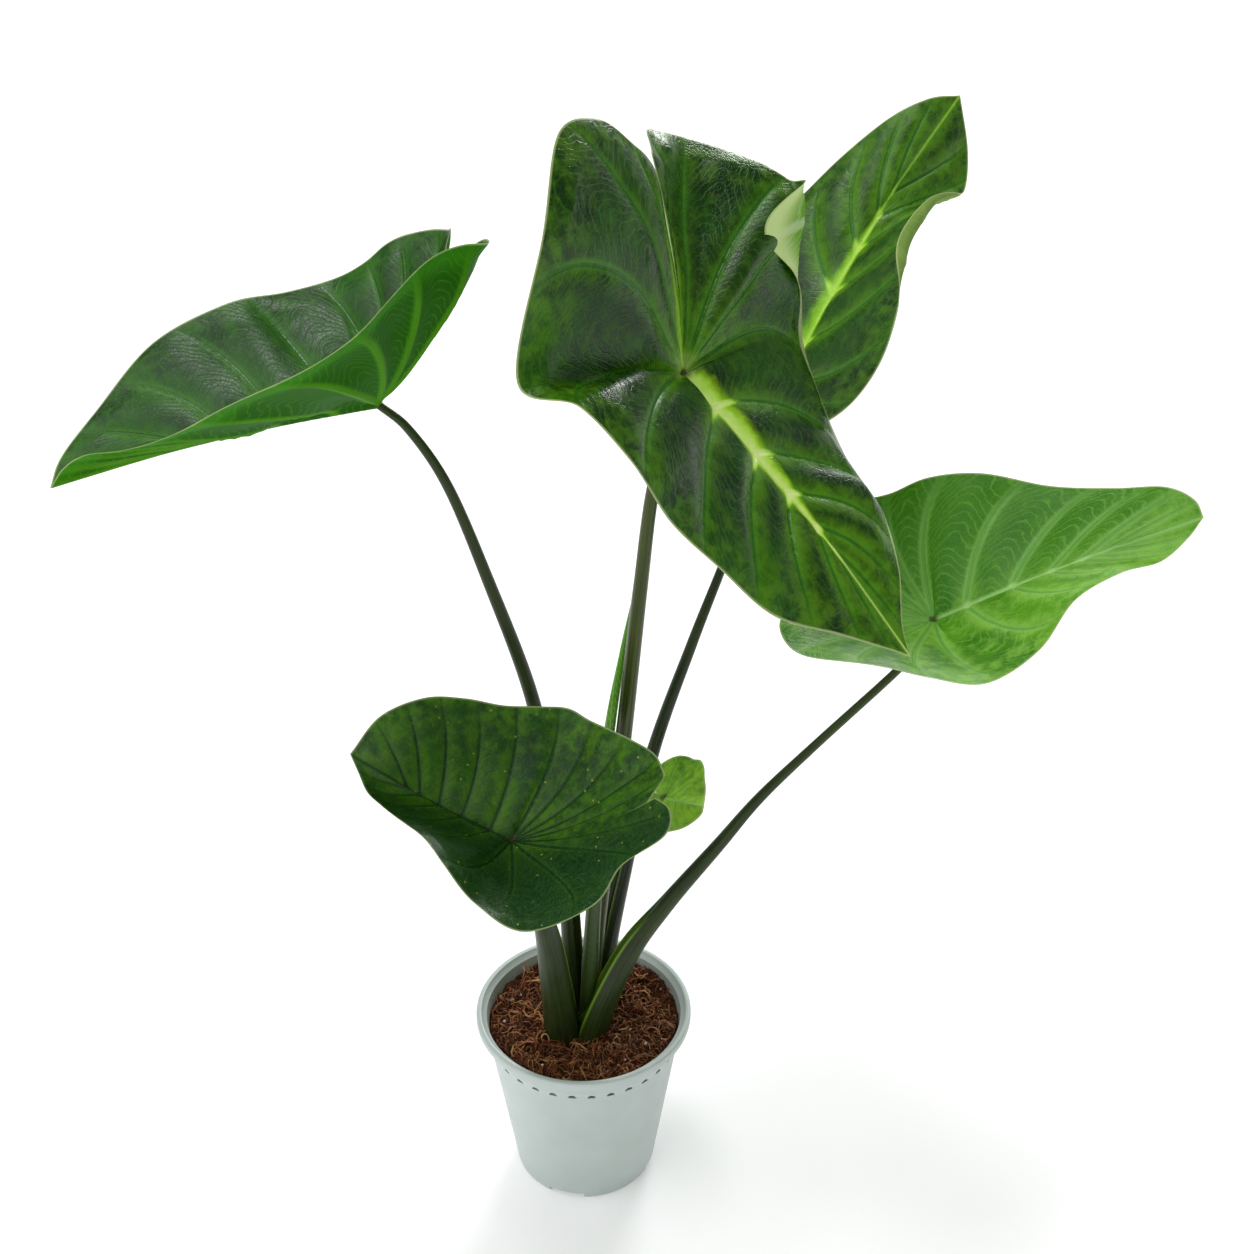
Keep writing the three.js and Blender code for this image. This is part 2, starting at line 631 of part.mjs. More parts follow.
// Tube along a path, with a half width for each share of the path and a shape factor for
// each side of the section. The first side faces the direction open. grow adds to every side.
function sweep(path, open, halfWidthAt, shapeAt, grow) {
  const points = [];
  const faces = [];
  const ends = {};
  for (let step = 0; step <= STALK_STEPS; step += 1) {
    const t = step / STALK_STEPS;
    const centre = smoothPoint(path, t);
    const ahead = smoothPoint(path, Math.min(t + TANGENT_STEP, 1));
    const behind = smoothPoint(path, Math.max(t - TANGENT_STEP, 0));
    const tangent = ahead.sub(behind).normalize();
    if (step === 0) centre.addScaledVector(tangent, -grow);
    if (step === STALK_STEPS) centre.addScaledVector(tangent, grow);
    ends[step] = centre;
    const across = open.clone().addScaledVector(tangent, -open.dot(tangent)).normalize();
    const aside = tangent.clone().cross(across);
    for (let k = 0; k < STALK_SIDES; k += 1) {
      const angle = (2 * Math.PI * k) / STALK_SIDES;
      const radius = halfWidthAt(t) * shapeAt(t, k) + grow;
      const point = centre.clone().addScaledVector(across, radius * Math.cos(angle));
      points.push(point.addScaledVector(aside, radius * Math.sin(angle)));
    }
  }
  const bottom = points.push(ends[0]) - 1;
  const top = points.push(ends[STALK_STEPS]) - 1;
  const end = STALK_STEPS * STALK_SIDES;
  for (let k = 0; k < STALK_SIDES; k += 1) {
    const next = (k + 1) % STALK_SIDES;
    for (let step = 0; step < STALK_STEPS; step += 1) {
      const row = step * STALK_SIDES;
      const above = row + STALK_SIDES;
      faces.push([row + k, row + next, above + next], [row + k, above + next, above + k]);
    }
    faces.push([bottom, next, k], [top, end + k, end + next]);
  }
  return solidFromFaces(points, faces);
}

// Stalk of a leaf. Its lower part is a sheath: a channel between two lips, open on the side
// away from the way the stalk leans.
function makeStalk(leaf, grow) {
  const [bottomWidth, topWidth] = leaf.stalkWidth;
  const first = leaf.stalk[0];
  const last = leaf.stalk[leaf.stalk.length - 1];
  const open = new THREE.Vector3(first[0] - last[0], first[1] - last[1], 0).normalize();
  const halfWidthAt = (t) => (topWidth + (bottomWidth - topWidth) * (1 - t) ** leaf.taper) / 2;
  const shapeAt = (t, k) => {
    const sheath = THREE.MathUtils.smoothstep(leaf.sheath - t, 0, SHEATH_FADE);
    const depth = sheath * THREE.MathUtils.smoothstep(t, ...BURIED);
    if (k === 0) return 1 - CHANNEL_DEPTH * depth;
    if (k === 1 || k === STALK_SIDES - 1) return 1 + CHANNEL_LIP * depth;
    return 1;
  };
  return sweep(leaf.stalk, open, halfWidthAt, shapeAt, grow);
}

function makeNewLeaf(grow) {
  const halfWidthAt = (t) => smooth(NEW_LEAF_WIDTHS, t) / 2;
  return sweep(NEW_LEAF_PATH, new THREE.Vector3(-1, 0, 0), halfWidthAt, () => 1, grow);
}

// Stalk cut clear of its blade's creased underside, both outward from the blade and back
// along the stalk's end.
function seated(stalk, leaf) {
  const [beforeLast, last] = leaf.stalk.slice(-2).map((place) => new THREE.Vector3(...place));
  const back = beforeLast.sub(last).setLength(GAP);
  const steps = [0, 1, 2].map((step) => back.clone().multiplyScalar(step));
  const blades = steps.map((step) => makeBlade(leaf, GAP).translate(step.toArray()));
  const cut = blades.reduce((rest, blade) => rest.subtract(blade), stalk);
  return cut.subtract(makeBlade(leaf, 2 * GAP));
}

// Stalks and the rolled leaf, from the oldest in. Each is cut clear of those before it and
// of the blade that it carries.
function makeStalks() {
  const order = ['front', 'right', 'left', 'back', 'centre', 'small'];
  const stalks = [];
  const taken = [];
  const clearOf = (solid) => largestBody(taken.reduce((rest, other) => rest.subtract(other), solid));
  for (const name of order) {
    const leaf = LEAVES.find((each) => each.name === name);
    const stalk = clearOf(seated(makeStalk(leaf, 0), leaf));
    stalks.push({ name: `stalk_${name}`, solid: stalk, look: STALK_GREEN });
    taken.push(makeStalk(leaf, GAP));
    if (name === 'centre') {
      const look = { ...LEAF_GREEN, color: 0x3f7d1e };
      stalks.push({ name: 'new_leaf', solid: clearOf(makeNewLeaf(0)), look });
      taken.push(makeNewLeaf(GAP));
    }
  }
  return { stalks, taken };
}

const plant = new THREE.Group();
const { stalks, taken } = makeStalks();
const soil = taken.reduce((rest, stalk) => rest.subtract(stalk), makeSoil());

plant.add(meshFromSolid('pot', makePot(), { color: 0xb4bdb6, roughness: 0.5, metalness: 0 }));
plant.add(meshFromSolid('soil', largestBody(soil), { color: 0x5a3420, roughness: 0.95, metalness: 0 }));
for (const { name, solid, look } of stalks) {
  plant.add(meshFromSolid(name, solid, look));
}
for (const leaf of LEAVES) {
  const look = { ...LEAF_GREEN, color: leaf.color };
  plant.add(meshFromSolid(`blade_${leaf.name}`, makeBlade(leaf, 0), look));
}

export default plant;
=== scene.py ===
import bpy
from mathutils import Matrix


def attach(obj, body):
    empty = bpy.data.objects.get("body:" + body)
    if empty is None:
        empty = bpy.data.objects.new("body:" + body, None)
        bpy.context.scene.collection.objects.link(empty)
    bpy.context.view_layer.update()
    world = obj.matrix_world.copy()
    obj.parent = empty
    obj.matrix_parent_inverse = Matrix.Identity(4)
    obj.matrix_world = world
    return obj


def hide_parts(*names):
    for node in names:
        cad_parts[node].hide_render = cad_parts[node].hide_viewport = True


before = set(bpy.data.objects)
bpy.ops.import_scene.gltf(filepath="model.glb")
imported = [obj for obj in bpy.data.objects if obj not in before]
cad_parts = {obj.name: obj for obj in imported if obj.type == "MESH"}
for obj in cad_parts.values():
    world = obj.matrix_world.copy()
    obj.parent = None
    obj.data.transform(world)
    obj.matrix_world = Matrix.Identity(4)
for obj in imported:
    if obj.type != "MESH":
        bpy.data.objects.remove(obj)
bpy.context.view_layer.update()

import math
import random

import bpy
import numpy as np
from mathutils import Vector, noise
from mathutils.bvhtree import BVHTree

# Pot
# A round nursery pot, moulded in one shot from polypropylene tinted pale grey-green. It has a
# rolled lip, a stepped collar with a ring of small D shaped vents under it, a rounded foot
# with four water notches and a raised floor with drain holes.
MM = 0.001
POT_HEIGHT = 155
INSIDE_FOOT = (56.2, 10)
INSIDE_RIM = (77.7, POT_HEIGHT)
FOOT = [(0, 0), (14, 0), (14.6, 0.5), (15.6, 6.2), (16.4, 7), (49.4, 7), (50.2, 6.6),
        (50.9, 0.5), (51.3, 0), (53.4, 0), (54.4, 0.2), (55.5, 0.9), (56.4, 2.2), (57, 4.2),
        (57.4, 7), (57.8, 10)]
LIP = [(82.6, 147.6), (83.4, 147.9), (84.2, 148), (84.8, 148.4), (85, 149.2), (85, 153),
       (84.8, 154.1), (84.1, 154.8), (83, 155), (82, 155), (81, 154.7), (80.4, 153.9),
       (79.6, 152.6)]
FLOOR_INSIDE = [(56.2, 11), (55.6, 9.6), (54.6, 9), (0, 9)]
WALL = 1.6
COLLAR_STEP = 1.2
POT_SEGMENTS = 160
HOLE_DEPTH = 12
VENT_COUNT = 32
VENT_HEIGHT = 131
VENT_RADIUS = 3.1
VENT_SILL = 0.05 * VENT_RADIUS
NOTCH_COUNT = 4
NOTCH_DEPTH = 15
NOTCH_WIDTH = 29
NOTCH_HEIGHT = 6.5
NOTCH_ROUND = 1.2
NOTCH_TURN = -105
DRAIN_COUNT = 8
DRAIN_RADIUS = 4
DRAIN_CIRCLE = 34
DRAIN_HEIGHT = 8


def wall_inside(height):
    """Radius of the pot's inner wall at a height, in mm."""
    (low, foot), (high, rim) = INSIDE_FOOT, INSIDE_RIM
    return low + (high - low) * (height - foot) / (rim - foot)


def only(piece):
    """Selects one object and makes it the active one."""
    bpy.ops.object.select_all(action="DESELECT")
    piece.select_set(True)
    bpy.context.view_layer.objects.active = piece


def start_from(primitive, **sizes):
    """Adds a primitive with its size and place in its mesh, and selects it alone."""
    bpy.ops.object.select_all(action="DESELECT")
    primitive(**sizes)
    bpy.ops.object.transform_apply()
    return bpy.context.object


def spun(name, profile, segments):
    """Solid turned from a profile of radius and height in mm, whose ends lie on the axis."""
    (radius, height), *rest = profile[1:-1]
    piece = start_from(bpy.ops.mesh.primitive_circle_add, vertices=segments, radius=radius * MM,
                       fill_type="TRIFAN", location=(0, 0, height * MM))
    piece.name = name
    bpy.ops.object.mode_set(mode="EDIT")
    bpy.ops.mesh.region_to_loop()
    bpy.ops.mesh.select_mode(type="EDGE")
    for wide, high in rest:
        bpy.ops.mesh.extrude_edges_move(
            TRANSFORM_OT_translate={"value": (0, 0, (high - height) * MM)})
        bpy.ops.transform.resize(value=(wide / radius, wide / radius, 1))
        radius, height = wide, high
    bpy.ops.mesh.extrude_edges_move(TRANSFORM_OT_translate={"value": (0, 0, 0)})
    bpy.ops.mesh.merge(type="CENTER")
    bpy.ops.mesh.select_all(action="SELECT")
    bpy.ops.mesh.normals_make_consistent(inside=False)
    bpy.ops.object.mode_set(mode="OBJECT")
    return piece


outer_wall = [(wall_inside(high) + WALL, high) for high in (13, 18, 40, 70, 100, 124, 133.4)]
outer_wall += [(wall_inside(134.6) + WALL + 0.25 * COLLAR_STEP, 134.6),
               (wall_inside(135.6) + WALL + 0.75 * COLLAR_STEP, 135.6)]
collar = [(wall_inside(high) + WALL + COLLAR_STEP, high) for high in (136.6, 138, 141, 146.5)]
inner_wall = [(wall_inside(high), high) for high in (150.6, 148, 130, 100, 60, 30, 14)]
pot = spun("pot", FOOT + outer_wall + collar + LIP + inner_wall + FLOOR_INSIDE, POT_SEGMENTS)


def join(pieces):
    """Makes several objects one, with their places in its mesh."""
    bpy.ops.object.select_all(action="DESELECT")
    for piece in pieces:
        piece.select_set(True)
    bpy.context.view_layer.objects.active = pieces[0]
    bpy.ops.object.transform_apply()
    bpy.ops.object.join()
    return pieces[0]


def cut_ring(piece, cutter, count, start):
    """Takes a ring of copies of a closed shape, turned about the pot's axis, out of a piece."""
    cutters = [cutter]
    for _ in range(1, count):
        copy = cutter.copy()
        copy.data = cutter.data.copy()
        bpy.context.collection.objects.link(copy)
        cutters.append(copy)
    for turn, copy in enumerate(cutters):
        copy.rotation_euler[2] = math.radians(start + turn * 360 / count)
    modifier = piece.modifiers.new("cut", "BOOLEAN")
    modifier.object = join(cutters)
    modifier.operation = "DIFFERENCE"
    modifier.solver = "EXACT"
    only(piece)
    bpy.ops.object.modifier_apply(modifier="cut")
    bpy.data.objects.remove(cutter)


vent = start_from(
    bpy.ops.mesh.primitive_cylinder_add, vertices=20, radius=VENT_RADIUS * MM,
    depth=HOLE_DEPTH * MM, rotation=(0, math.radians(90), 0),
    location=(wall_inside(VENT_HEIGHT) * MM, 0, VENT_HEIGHT * MM))
bpy.ops.object.mode_set(mode="EDIT")
bpy.ops.mesh.bisect(plane_co=(0, 0, (VENT_HEIGHT - VENT_SILL) * MM), plane_no=(0, 0, -1),
                    use_fill=True, clear_outer=True)
bpy.ops.object.mode_set(mode="OBJECT")
cut_ring(pot, vent, VENT_COUNT, 180 / VENT_COUNT)

notch = start_from(bpy.ops.mesh.primitive_cube_add, size=MM, location=(FOOT[-1][0] * MM, 0, 0),
                   scale=(NOTCH_DEPTH, NOTCH_WIDTH, 2 * NOTCH_HEIGHT))
rounding = notch.modifiers.new("round", "BEVEL")
rounding.width = NOTCH_ROUND * MM
rounding.segments = 3
bpy.ops.object.modifier_apply(modifier="round")
cut_ring(pot, notch, NOTCH_COUNT, NOTCH_TURN)

drain = start_from(
    bpy.ops.mesh.primitive_cylinder_add, vertices=24, radius=DRAIN_RADIUS * MM,
    depth=HOLE_DEPTH * MM, location=(DRAIN_CIRCLE * MM, 0, DRAIN_HEIGHT * MM))
cut_ring(pot, drain, DRAIN_COUNT, 0)
only(pot)
bpy.ops.object.shade_smooth_by_angle(angle=math.radians(32))


def linear(hex_colour):
    """Linear colour of an sRGB hex value."""
    parts = [int(hex_colour[i:i + 2], 16) / 255 for i in (1, 3, 5)]
    return [c / 12.92 if c <= 0.04045 else ((c + 0.055) / 1.055) ** 2.4 for c in parts] + [1]


TIMES, PLUS, MINUS = "Math MULTIPLY", "Math ADD", "Math SUBTRACT"
SPAN, EASE, MIX = "MapRange", "MapRange SMOOTHSTEP", "MixRGB"


def put(tree, kind, *values, out=0, **settings):
    """Adds a node, joins or fills its inputs and gives one of its outputs. The second word of
    kind is its operation or its easing, and a setting with a capital is an input. A value that
    is a tuple with a kind first stands for a node, and one that is text is an sRGB colour."""
    kind, _, way = kind.partition(" ")
    node = tree.nodes.new("ShaderNode" + kind)
    if way:
        settings["operation" if kind == "Math" else "interpolation_type"] = way
    inputs = list(enumerate(values))
    for setting, value in settings.items():
        if setting[0].isupper():
            inputs.append((setting.replace("_", " "), value))
        else:
            setattr(node, setting, value)
    for socket, value in inputs:
        if isinstance(value, tuple) and isinstance(value[0], str):
            value = put(tree, *value)
        if isinstance(value, bpy.types.NodeSocket):
            tree.links.new(value, node.inputs[socket])
        else:
            node.inputs[socket].default_value = linear(value) if isinstance(value, str) else value
    return node.outputs[out] if len(node.outputs) else node


def new_material(name):
    """Empty node material and its tree."""
    material = bpy.data.materials.new(name)
    material.use_nodes = True
    material.node_tree.nodes.clear()
    return material, material.node_tree


def dress(piece, material, node=None):
    """Gives a piece its material and its place in the part."""
    piece.data.materials.clear()
    piece.data.materials.append(material)
    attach(piece, "root")
    if node:
        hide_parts(node)


# Injection moulded polypropylene: a soft satin skin with a fine eggshell grain, faint clouds
# where the melt cooled, a trace of splashed soil round the foot and dull scuffs on the lip.
polypropylene, tree = new_material("moulded_polypropylene")
place = put(tree, "TexCoord", out=3)
height = put(tree, "SeparateXYZ", place, out=2)
cloud = put(tree, "TexNoise", place, Scale=28, Detail=3, Roughness=0.5)
fleck = put(tree, "TexNoise", place, Scale=900, Detail=2, Roughness=0.6)
dirt = put(tree, TIMES, (SPAN, height, 0.03, 0.0), (SPAN, fleck, 0.62, 0.74))
colour = put(tree, MIX, (TIMES, dirt, 0.5), (MIX, cloud, "#B6C2BE", "#C6D1CD"), "#7A6A58")
stretched = put(tree, "Mapping", place, Scale=(1, 1, 9))
scuff = put(tree, "TexNoise", stretched, Scale=60, Detail=5, Roughness=0.65)
grain = put(tree, "TexNoise", place, Scale=1600, Detail=2)
bump = put(tree, "Bump", Height=grain, Strength=0.12, Distance=0.0003)
put(tree, "OutputMaterial", put(tree, "BsdfPrincipled",
    Base_Color=colour, Roughness=(SPAN, scuff, 0.3, 0.75, 0.36, 0.56), Normal=bump,
    IOR=1.49, Subsurface_Weight=0.08, Subsurface_Radius=(0.004, 0.004, 0.004)))
dress(pot, polypropylene, "pot")

# Soil
# Potting mix of washed coir: a loose lump pressed in by hand round the stalks, with dust,
# short curled fibres and a few grains of perlite on top. It ends a finger under the lip.
SOIL_TOP = 142
SOIL_FLOOR = 9.4
SOIL_CLEAR = 0.5
SOIL_EDGE = 6
SOIL_RINGS = 84
SOIL_SEGMENTS = 210


def soil_height(x, y):
    """Height of the soil in mm, with its broad lumps, its crumbs and a torn clod at its edge."""
    coarse = math.sin(x / 9 + 1.3) * math.cos(y / 11 + 0.4)
    fine = math.sin(x / 4.3 + y / 6.1) * math.cos(y / 5.2 - x / 7.7)
    clods = noise.fractal(Vector((x / 9, y / 9, 3.1)), 0.8, 2.1, 4)
    pits = noise.noise(Vector((x / 3.1, y / 3.1, 8.7)))
    edge = max(math.hypot(x, y) - 55, 0) / 20
    torn = 5.5 * edge ** 2 * math.exp(-((math.atan2(y, x) - 0.75) / 0.35) ** 2)
    lumps = SOIL_TOP + 2.2 * (0.6 * coarse + 0.4 * fine)
    return lumps + (2.7 * clods + 2.2 * pits - 1.2 + torn)


def tube_faces(rings, sides, first=0, flip=False):
    """Faces of a closed tube whose rings of points follow one another."""
    faces = []
    for ring in range(rings - 1):
        for side in range(sides):
            a = first + ring * sides + side
            b = first + ring * sides + (side + 1) % sides
            outward = (a, b, b + sides, a + sides)
            faces.append((a, a + sides, b + sides, b) if flip else outward)
    end = first + (rings - 1) * sides
    way = -1 if flip else 1
    faces.append(tuple(range(first, first + sides))[::-way])
    faces.append(tuple(range(end, end + sides))[::way])
    return faces


def piece_from(name, points, faces, attributes=None):
    """Mesh piece from points in mm, with smooth faces and one value a point per attribute."""
    mesh = bpy.data.meshes.new(name)
    mesh.from_pydata([tuple(c * MM for c in point) for point in points], [], faces)
    mesh.polygons.foreach_set("use_smooth", [True] * len(mesh.polygons))
    for key, values in (attributes or {}).items():
        values = np.asarray(values, dtype=np.float32)
        kind = "FLOAT_VECTOR" if values.ndim == 2 else "FLOAT"
        attribute = mesh.attributes.new(key, kind, "POINT")
        attribute.data.foreach_set("vector" if values.ndim == 2 else "value", values.ravel())
    mesh.update()
    piece = bpy.data.objects.new(name, mesh)
    bpy.context.collection.objects.link(piece)
    return piece


turns = [2 * math.pi * step / SOIL_SEGMENTS for step in range(SOIL_SEGMENTS)]
soil_points = []
for ring in range(1, SOIL_RINGS + 1):
    radius = (wall_inside(SOIL_TOP) - SOIL_CLEAR) * (ring / SOIL_RINGS)
    spots = [(radius * math.cos(turn), radius * math.sin(turn)) for turn in turns]
    soil_points += [(x, y, soil_height(x, y)) for x, y in spots]
for level in (0.75, 0.5, 0.25, 0):
    high = SOIL_FLOOR + (SOIL_TOP - SOIL_EDGE - SOIL_FLOOR) * level
    radius = min(wall_inside(high) - SOIL_CLEAR, 54.6 + 1.4 * (high - SOIL_FLOOR))
    soil_points += [(radius * math.cos(turn), radius * math.sin(turn), high) for turn in turns]
soil_faces = tube_faces(len(soil_points) // SOIL_SEGMENTS, SOIL_SEGMENTS, flip=True)[:-2]
middle = len(soil_points)
soil_points += [(0, 0, soil_height(0, 0)), (0, 0, SOIL_FLOOR)]
for step in range(SOIL_SEGMENTS):
    after = (step + 1) % SOIL_SEGMENTS
    last = middle - SOIL_SEGMENTS
    soil_faces += [(middle, step, after), (middle + 1, last + after, last + step)]
soil = piece_from("soil", soil_points, soil_faces)

# Washed coir dust: matt and red brown, with painted shade near black in the hollows between the
# crumbs, and paler crumbs of pith. Real dust is under half a millimetre, so it is drawn coarser.
coir_dust, tree = new_material("coir_dust")
place = put(tree, "TexCoord", out=3)
crumb = put(tree, "TexVoronoi", place, Scale=420, Randomness=1)
dust = put(tree, "TexNoise", place, Scale=260, Detail=6, Roughness=0.7)
# painted shade: where the dust relief is low, which the bump also sinks, the colour goes to near
# black
colour = put(tree, MIX, (SPAN, dust, 0.35, 0.65), "#1C0C06", "#5E3018")
colour = put(tree, MIX, (SPAN, crumb, 0.0, 0.35, 0.55, 0.0), colour, "#8E5634")
bump = put(tree, "Bump", Height=dust, Strength=0.9, Distance=0.0015)
bump = put(tree, "Bump", Height=crumb, Strength=0.5, Distance=0.001, Normal=bump)
put(tree, "OutputMaterial", put(tree, "BsdfPrincipled",
    Base_Color=colour, Roughness=0.95, Normal=bump, Specular_IOR_Level=0.2))
dress(soil, coir_dust, "soil")

# Coir fibres: short stiff curled hairs of coconut husk, tangled over the dust. Single hairs
# are 0.2 to 0.3 mm thick, so they are drawn as bundles of 0.5 to 1.9 mm that show.
FIBRES = 1500
FIBRE_STEPS = 7
FIBRE_SIDES = 3
FIBRE_LENGTH = (8, 28)
FIBRE_THIN = 0.24
FIBRE_MORE = 0.7
FIBRE_REACH = 71
FIBRE_FARTHEST = 73.5


def fibre_line(draw):
    """Points of one curled fibre that lies on the soil, in mm, and its thickness."""
    reach = FIBRE_REACH * math.sqrt(draw.random())
    turn = draw.uniform(0, 2 * math.pi)
    x, y = reach * math.cos(turn), reach * math.sin(turn)
    heading = draw.uniform(0, 2 * math.pi)
    length = draw.uniform(*FIBRE_LENGTH)
    curl = draw.gauss(0, 0.6)
    hump = draw.uniform(0.3, 3.2) if draw.random() < 0.8 else draw.uniform(4, 9)
    line = []
    for step in range(FIBRE_STEPS):
        share = step / (FIBRE_STEPS - 1)
        high = soil_height(x, y) + 0.2 + hump * math.sin(math.pi * share)
        line.append(Vector((x, y, high + draw.uniform(-0.3, 0.3))))
        heading += curl + draw.gauss(0, 0.35)
        x += length / FIBRE_STEPS * math.cos(heading)
        y += length / FIBRE_STEPS * math.sin(heading)
        far = math.hypot(x, y) / FIBRE_FARTHEST
        if far > 1:
            x, y = x / far, y / far
            heading += 1.2
    return line, FIBRE_THIN + FIBRE_MORE * draw.random() ** 2.2


def fibre_rings(line, thick):
    """Points round a fibre's line, thinner at its ends."""
    points = []
    for step, here in enumerate(line):
        tangent = (line[min(step + 1, FIBRE_STEPS - 1)] - line[max(step - 1, 0)]).normalized()
        aside = tangent.cross(Vector((0.3, 0.2, 1))).normalized()
        other = tangent.cross(aside)
        radius = thick * (0.45 if step in (0, FIBRE_STEPS - 1) else 1)
        for side in range(FIBRE_SIDES):
            angle = 2 * math.pi * side / FIBRE_SIDES
            points.append(here + radius * (math.cos(angle) * aside + math.sin(angle) * other))
    return points


fibre_draw = random.Random(7)
fibre_points, fibre_faces, fibre_tints = [], [], []
for _ in range(FIBRES):
    line, thick = fibre_line(fibre_draw)
    fibre_faces += tube_faces(FIBRE_STEPS, FIBRE_SIDES, len(fibre_points), flip=True)
    fibre_points += fibre_rings(line, thick)
    fibre_tints += [fibre_draw.random()] * (FIBRE_STEPS * FIBRE_SIDES)
fibres = piece_from("coir_fibres", fibre_points, fibre_faces, {"tint": fibre_tints})

# Husk fibre: woody and slightly waxy, from dark red brown to straw, each hair its own shade.
husk_fibre, tree = new_material("husk_fibre")
place = put(tree, "TexCoord", out=3)
tint = put(tree, "Attribute", attribute_name="tint", out=2)
patch = put(tree, "TexNoise", place, Scale=300, Detail=2)
colour = put(tree, MIX, (SPAN, tint, 0.0, 0.75), "#4A2410", "#9A5C30")
colour = put(tree, MIX, (SPAN, tint, 0.72, 1.0, 0.0, 0.9), colour, "#D2A068")
colour = put(tree, MIX, (SPAN, patch, 0.4, 0.7, 0.0, 0.4), colour, "#3A1E10")
put(tree, "OutputMaterial", put(tree, "BsdfPrincipled",
    Base_Color=colour, Roughness=0.62, Specular_IOR_Level=0.35))
dress(fibres, husk_fibre)

# Perlite: grains of puffed volcanic glass, pale and pitted, half sunk in the dust. Each is
# given by its place and its radius in mm.
GRAINS = [(-58, 22, 1.6), (-52, 31, 1.2), (-31, -52, 1.0), (14, -61, 1.3), (49, -28, 1.1),
          (58, 16, 1.2), (33, -47, 0.9), (-63, -3, 1.1), (41, 38, 1.3), (62, 34, 1.0),
          (-44, -38, 0.8)]
GRAIN_RISE = 0.6
grains = []
for x, y, size in GRAINS:
    spot = Vector((x, y, soil_height(x, y) + GRAIN_RISE)) * MM
    grain = start_from(bpy.ops.mesh.primitive_ico_sphere_add, subdivisions=2, radius=size * MM,
                       location=spot)
    for vertex in grain.data.vertices:
        vertex.co += (vertex.co - spot) * 0.45 * noise.noise(vertex.co * 900)
    grains.append(grain)
perlite = join(grains)
perlite.name = "perlite"

# Expanded perlite: chalky white, with grey painted shade in its pores.
expanded_perlite, tree = new_material("expanded_perlite")
place = put(tree, "TexCoord", out=3)
pores = put(tree, "TexVoronoi", place, Scale=2200)
# painted shade: the pits that the bump sinks at the pore centres are painted grey
colour = put(tree, MIX, (SPAN, pores, 0.0, 0.5), "#A89C8C", "#F2EEE4")
bump = put(tree, "Bump", Height=pores, Strength=0.6, Distance=0.0004)
put(tree, "OutputMaterial", put(tree, "BsdfPrincipled",
    Base_Color=colour, Roughness=0.9, Normal=bump))
dress(perlite, expanded_perlite)

# Blades
# Six leaf blades, each one sheet about half a millimetre thick, quilted between veins that
# spread from the point where the stalk joins it, near the notch between its two lobes.
OUTLINE = np.array([
    (1, 0), (0.93, 0.07), (0.82, 0.21), (0.67, 0.42), (0.5, 0.63), (0.32, 0.82),
    (0.12, 0.96), (-0.1, 1), (-0.36, 0.97), (-0.62, 0.86), (-0.84, 0.68), (-0.97, 0.45),
    (-1, 0.26), (-0.9, 0.1)])
FULL_LENGTH = 220
NOTCH_SHARE = 0.4
FAN_START = 0.45
HALF_SHEET = 0.28

# Low relief of a blade of the full length, in mm. A crease is its height and its half width.
# Nicks of the margin are in per cent of its distance from the joint, with how many there are.
NICKS = ((0.9, 9), (0.6, 21))
MARGIN_WAVE = 2.5
MARGIN_WAVES = 3.25
QUILT_FADE = (16, 14)
QUILT_PANEL = 34
LUMP = 30
SWELL = 62
CROSS_VEINS = 7.5
CHANNEL = (-1.1, 3.2)
GROOVE = (-0.25, 1.3)
RIDGE = (0.55, 1.6)
RIB = (2.7, 2.6)
STRIP = 6
VEINS = (0, 0.085, 0.155, 0.23, 0.31, 0.4, 0.51, 0.62, 0.73, 0.84, 0.94, 1.05)

